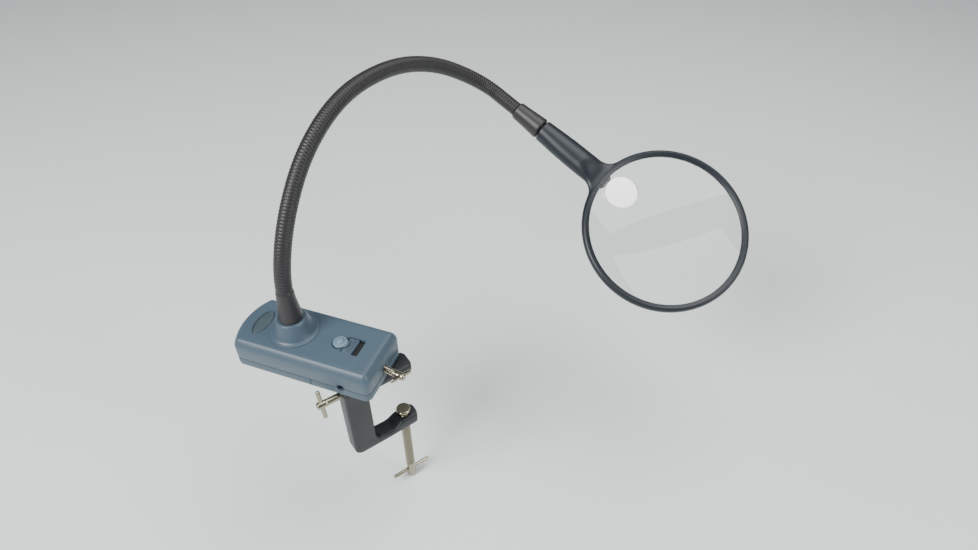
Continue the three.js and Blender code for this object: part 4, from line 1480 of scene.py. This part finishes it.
    def build_sleeve(self) -> None:
        """Ribbed sleeve, cut halfway between joints into one piece for each joint."""
        stops = self.stations()
        middles = (stops[1:-1] + stops[2:]) / 2
        edges = np.concatenate([[self.collar_length - 2], middles, [stops[-1] + 21.0]])
        for k, (start, end) in enumerate(zip(edges[:-1], edges[1:])):
            joint = stops[k + 1]
            piece = make(f"sleeve_{k + 1}", self.tube(start, end), crease=60)
            nodes = [f"neck_sleeve_{k + 1}", f"neck_conduit_{k + 1}"] if k < 7 else []
            dress(piece, SLEEVE, "", *nodes)
            tuple(self.point(joint - self.reach))
            tuple(self.point(joint + self.reach * (0.6 if k == 7 else 1)))
            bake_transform(piece)

    def build(self) -> None:
        """Makes the collar and the sleeve."""
        self.build_base_collar()
        self.build_sleeve()


# ---- lens head -----------------------------------------------------------------------------


@dataclass
class LensHead:
    """Ring, handle, lenses and lamp. Local X runs away from the handle, Z up the lens axis."""

    outer: float = 58.8
    inner: float = 54.5
    half: float = 3.0
    handle_start: float = -111.8
    groove: float = -113.0
    fillet: float = 11.0
    grip: float = 9.3
    nose: float = 0.9
    cover_span: tuple[float, float] = (-101.7, -68.0)
    screw_places: tuple[float, float] = (-96.0, -72.0)
    collar_start: float = -135.6
    lens_edge: float = 1.1
    lens_sag: float = 4.0
    spot_x: float = -39.7
    spot_radius: float = 11.3
    spot_gap: float = 0.15
    lens_up: tuple[float, float, float] = (0.235, -0.5332, 0.8127)

    def place(self) -> Placement:
        """Frame of the head, from the lens's box and the twist joint's axis.

        Returns:
            The frame, with its origin at the lens's centre.
        """
        low, high = corners("main_lens")
        axis = joint_axis("head_twist")
        return Placement.along((low + high) / 2, self.lens_up, axis)

    def share(self, x: Array | float) -> Array | float:
        """Share of the way from the handle's end to the ring's outside, from 0 to 1."""
        return np.clip((x - self.handle_start) / (-self.outer - self.handle_start), 0, 1)

    def thinning(self, share: Array | float) -> Array | float:
        """Smooth step 3e^2 - 2e^3 over the last third of the handle, where it thins."""
        e = np.clip((share - 0.68) / 0.32, 0, 1)
        return e * e * (3 - 2 * e)

    def half_height(self, share: Array | float) -> Array | float:
        """Half height of the handle: a slow taper, then the thinning towards the ring."""
        return 7.4 - 0.8 * np.minimum(share * 1.6, 1) - 3.75 * self.thinning(share)

    def handle_grid(self) -> Array:
        """Grid of the handle as it widens into the ring.

        Station x has a section of half width w and half height h, as a superellipse whose
        power grows from two towards the ring. The width is nearly even along the grip, then
        follows a circle of the fillet's radius that touches both the grip's side and the
        ring's outside.

        Returns:
            Grid of stations by places.
        """
        cy = self.grip + self.fillet
        cx = -math.sqrt((self.outer + self.fillet) ** 2 - cy**2)
        touch = cx * self.outer / (self.outer + self.fillet)
        start = self.handle_start
        x = np.concatenate([
            start + self.nose * (1 - np.cos(np.linspace(0, np.pi / 2, 7)[:-1])),
            np.linspace(start + self.nose, cx, 46)[:-1],
            cx + (touch - cx) * np.sin(np.linspace(0, np.pi / 2, 26)),
        ])
        t = self.share(x)
        width = 7.8 + 1.5 * np.sin(np.minimum(t * 1.5, 1) * np.pi / 2)
        bend = np.clip(x, cx, touch)
        round_in = cy - np.sqrt(np.maximum(self.fillet**2 - (bend - cx) ** 2, 0))
        width = np.where(x > cx, round_in, width)
        nose = np.clip(1 - (x - start) / self.nose, 0, 1)
        drop = self.nose * (1 - np.sqrt(1 - nose**2))
        power = 2.0 + 1.2 * self.thinning(t)
        turn = np.linspace(0, 2 * np.pi, 72, endpoint=False)
        c, s = np.cos(turn)[None], np.sin(turn)[None]
        w = (width - drop)[:, None]
        h = (self.half_height(t) - drop)[:, None]
        e = 2 / power[:, None]
        y = w * np.sign(c) * np.abs(c) ** e
        z = h * np.sign(s) * np.abs(s) ** e
        return np.stack([np.repeat(x[:, None], 72, axis=1), y, z], axis=-1)

    def ring_shell(self) -> Shell:
        """Ring with a rounded outside, a crest and a slope down to the lens on both faces.

        The outside's radius is outer - 1.9 (1 - sqrt(1 - t^2)), for t across the ring's height.

        Returns:
            The surface in the row's frame.
        """
        o, i, h = self.outer, self.inner, self.half
        turn = np.linspace(-1, 1, 15)
        bulge = o - 1.9 * (1 - np.sqrt(1 - (0.985 * turn) ** 2))
        outside = np.stack([bulge, (h - 0.15) * turn], axis=-1)
        lip = i - 0.8
        upper = rounded([tuple(outside[-1]), (o - 1.85, h), (o - 2.5, h), (lip + 0.25, 2.0),
                         (lip, 1.7), (lip, 0.9)], 0.25, 3)
        lower = upper[::-1] * np.array([1, -1])
        profile = np.vstack([outside, upper[1:], lower[:-1]])
        return placed(loft(revolve(profile, 192), closed=True), self.place())

    def build_frame(self) -> None:
        """Ring and handle as one moulding, and the cover on the handle's underside."""
        place = self.place()
        handle = placed(loft(self.handle_grid()), place)
        dress(make("head_moulding", handle, self.ring_shell(), crease=40), HEAD, "lens", "lens_frame")
        grid = self.handle_grid()
        x = grid[:, 0, 0]
        rows = (x > self.cover_span[0]) & (x < self.cover_span[1])
        turn = np.linspace(0, 2 * np.pi, 72, endpoint=False)
        columns = (turn > np.pi + 0.12) & (turn < 2 * np.pi - 0.12)
        patch = grid[rows][:, columns]
        angle = turn[columns]
        outward = np.stack([np.zeros_like(angle), np.cos(angle), np.sin(angle)], axis=-1)
        skin, root = patch + 0.1 * outward, patch - 0.5 * outward
        ring = np.concatenate([skin, root[:, ::-1]], axis=1)
        dress(make("handle_back_cover", placed(loft(ring), place)), HEAD, "lens", "handle_cover")

    def build_screws(self) -> None:
        """Two recessed screws in the handle's cover."""
        place = self.place()
        for number, x in enumerate(self.screw_places, start=1):
            z = -self.half_height(self.share(x))
            here = Placement(place.put([x, 0, 0]), place.axes)
            cup = [(AXIS, z - 0.13), (1.2, z - 0.13), (1.5, z - 0.05), (1.5, z + 0.6),
                   (AXIS, z + 0.6)]
            head = turned(cup, here, 32, 0.1)
            dress(make(f"handle_screw_head_{number}", head), STEEL, "lens", f"handle_screw_{number}")

    def disc_grid(self, radius: float, edge: float, sag: float, sides: int) -> Array:
        """Grid of a lens with two domed faces.

        Each face rises over its edge as sag (1 - (r / radius)^2).

        Args:
            radius: Radius of the lens.
            edge: Half thickness at the edge.
            sag: Rise of each face at the axis.
            sides: Number of sides.

        Returns:
            Grid of rings by sides.
        """
        share = np.sin(np.linspace(0.002, 1, 20) * np.pi / 2)
        height = edge + sag * (1 - share**2)
        low = np.stack([radius * share, -height], axis=-1)
        high = np.stack([radius * share[::-1], height[::-1]], axis=-1)
        return revolve(np.vstack([low, high]), sides)

    def build_lenses(self) -> None:
        """Main lens with a round opening, and the stronger spot lens in it."""
        place = self.place()
        grid = self.disc_grid(self.inner, self.lens_edge, self.lens_sag, 160)
        disc = make("lens_body", placed(loft(grid), place))
        spot_place = Placement(place.put([self.spot_x, 0, 0]), place.axes)
        hole = rod(self.spot_radius + self.spot_gap, -9.0, 9.0, 80)
        carve(disc, [make("cutter", placed(hole, spot_place))])
        disc.name = "reading_lens"
        dress(disc, LENS, "lens", "main_lens")
        spot = loft(self.disc_grid(self.spot_radius, 2.5, 1.9, 80))
        dress(make("spot_insert", placed(spot, spot_place)), SPOT, "lens", "spot_lens")

    def build_lamp(self) -> None:
        """Hood under the ring at the handle's root, and the lamp in it."""
        place = self.place()
        under = -self.half - 0.35
        base = slab(rounded_rectangle(-58.8, -52.2, -4, 4, 2.8, 10), -6.8, under, 1.2, 6)
        tab = slab(rounded_rectangle(-56.2, -51.2, -5.4, 5.4, 2.3, 10), under - 1.6, -1.85, 0.5, 5)
        hood = make("lamp_cowl", placed(base, place), placed(tab, place))
        dress(hood, HEAD, "lens", "lamp_hood")
        lamp = [(AXIS, -8.4), (0.9, -8.2), (1.5, -7.6), (1.8, -6.6), (1.8, -5.4), (AXIS, -5.4)]
        here = Placement(place.put([-55.4, 0, 0]), place.axes)
        dress(make("lamp_dome", turned(lamp, here, 32)), LAMP, "lens", "lamp_bulb")

    def build_collar(self) -> None:
        """Tapered collar between the sleeve and the handle, with a narrow neck in the groove."""
        place = self.place()
        on_axis = Placement(place.put([0, 0, 0]), place.axes[[1, 2, 0]])
        start, end = self.collar_start, self.groove
        profile = [(5.4, start), (6.2, start + 0.6), (6.4, start + 3.0), (6.9, start + 11.0),
                   (7.5, end - 4.0), (7.7, end - 1.4), (7.6, end - 0.5), (7.1, end), (AXIS, end)]
        collar = make("head_collar", turned([(AXIS, start), *profile], on_axis, 72, 0.6))
        dress(collar, COLLAR, "neck_end", "neck_head_collar")
        low, high = end - 2, self.handle_start + 2
        spigot = [(AXIS, low), (5.1, low), (5.1, high), (AXIS, high)]
        dress(make("twist_neck", turned(spigot, on_axis, 48)), SOCKET_AND_PAINTED_SHADE, "lens", "twist_spigot")

    def build(self) -> None:
        """Makes every visible piece of the head."""
        self.build_frame()
        self.build_screws()
        self.build_lenses()
        self.build_lamp()
        self.build_collar()


# ---- studio --------------------------------------------------------------------------------


@dataclass
class Studio:
    """Floor, lights and camera."""

    position: tuple[float, float, float] = (0.15117, -0.24522, 0.33298)
    heading: float = 0.346696
    pitch: float = 0.72724
    focal: float = 24.63

    def floor(self) -> None:
        """Plain pale floor under the lowest point of the object."""
        level = CAD_BOX[0][2] - 0.0005
        size = 6.0
        mesh = bpy.data.meshes.new("floor")
        square = [(x, y, level) for x, y in ((-size, -size), (size, -size), (size, size), (-size, size))]
        mesh.from_pydata(square, [], [(0, 1, 2, 3)])
        floor = bpy.data.objects.new("floor", mesh)
        bpy.context.scene.collection.objects.link(floor)
        material = bpy.data.materials.new("pale floor")
        material.use_nodes = True
        shader = material.node_tree.nodes["Principled BSDF"]
        shader.inputs["Base Color"].default_value = linear(236, 241, 240)
        shader.inputs["Roughness"].default_value = 0.7
        mesh.materials.append(material)

    def lamp(self, name: str, place: tuple[float, float, float], aim: tuple[float, float, float],
             size: float, power: float) -> None:
        """Square soft light aimed at a point.

        Args:
            name: Name of the light.
            place: Where it stands, in metres.
            aim: Point that it faces, in metres.
            size: Side of the square, in metres.
            power: Power in watts.
        """
        data = bpy.data.lights.new(name, "AREA")
        data.size = size
        data.energy = power
        lamp = bpy.data.objects.new(name, data)
        lamp.location = place
        lamp.rotation_mode = "QUATERNION"
        lamp.rotation_quaternion = (Vector(place) - Vector(aim)).to_track_quat("Z", "Y")
        bpy.context.scene.collection.objects.link(lamp)

    def camera(self) -> None:
        """Camera that looks down on the object from its front right."""
        data = bpy.data.cameras.new("camera")
        data.sensor_width = 36.0
        data.lens = self.focal
        data.clip_start, data.clip_end = 0.01, 50.0
        camera = bpy.data.objects.new("camera", data)
        camera.location = self.position
        camera.rotation_mode = "XYZ"
        camera.rotation_euler = (math.pi / 2 - self.pitch, 0.0, self.heading)
        bpy.context.scene.collection.objects.link(camera)
        bpy.context.scene.camera = camera

    def build(self) -> None:
        """Sets the whole studio."""
        self.floor()
        aim = (0.0, 0.04, 0.02)
        self.lamp("key", (-0.55, -0.95, 1.05), aim, 0.75, 30.0)
        self.lamp("overhead", (0.25, 0.35, 1.25), aim, 1.0, 13.0)
        self.lamp("right strip", (1.1, -0.1, 0.5), aim, 0.4, 5.0)
        world = bpy.data.worlds.new("studio")
        world.use_nodes = True
        ground = world.node_tree.nodes["Background"]
        ground.inputs["Color"].default_value = (0.9, 0.95, 1.0, 1.0)
        ground.inputs["Strength"].default_value = 0.22
        bpy.context.scene.world = world
        self.camera()


def main() -> None:
    """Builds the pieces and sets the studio."""
    logging.basicConfig(level=logging.INFO, format="%(name)s: %(message)s")
    dress_frame()
    TableClamp().build()
    ClampScrew().build()
    LockScrew("post_lock", "post_lock", reach=40.8, bar_at=37.4).build()
    LockScrew("housing_lock", "housing_lock", reach=23.4, bar_at=20.3).build()
    Housing().build()
    Gooseneck().build()
    LensHead().build()
    Studio().build()


if __name__ == "__main__":
    main()
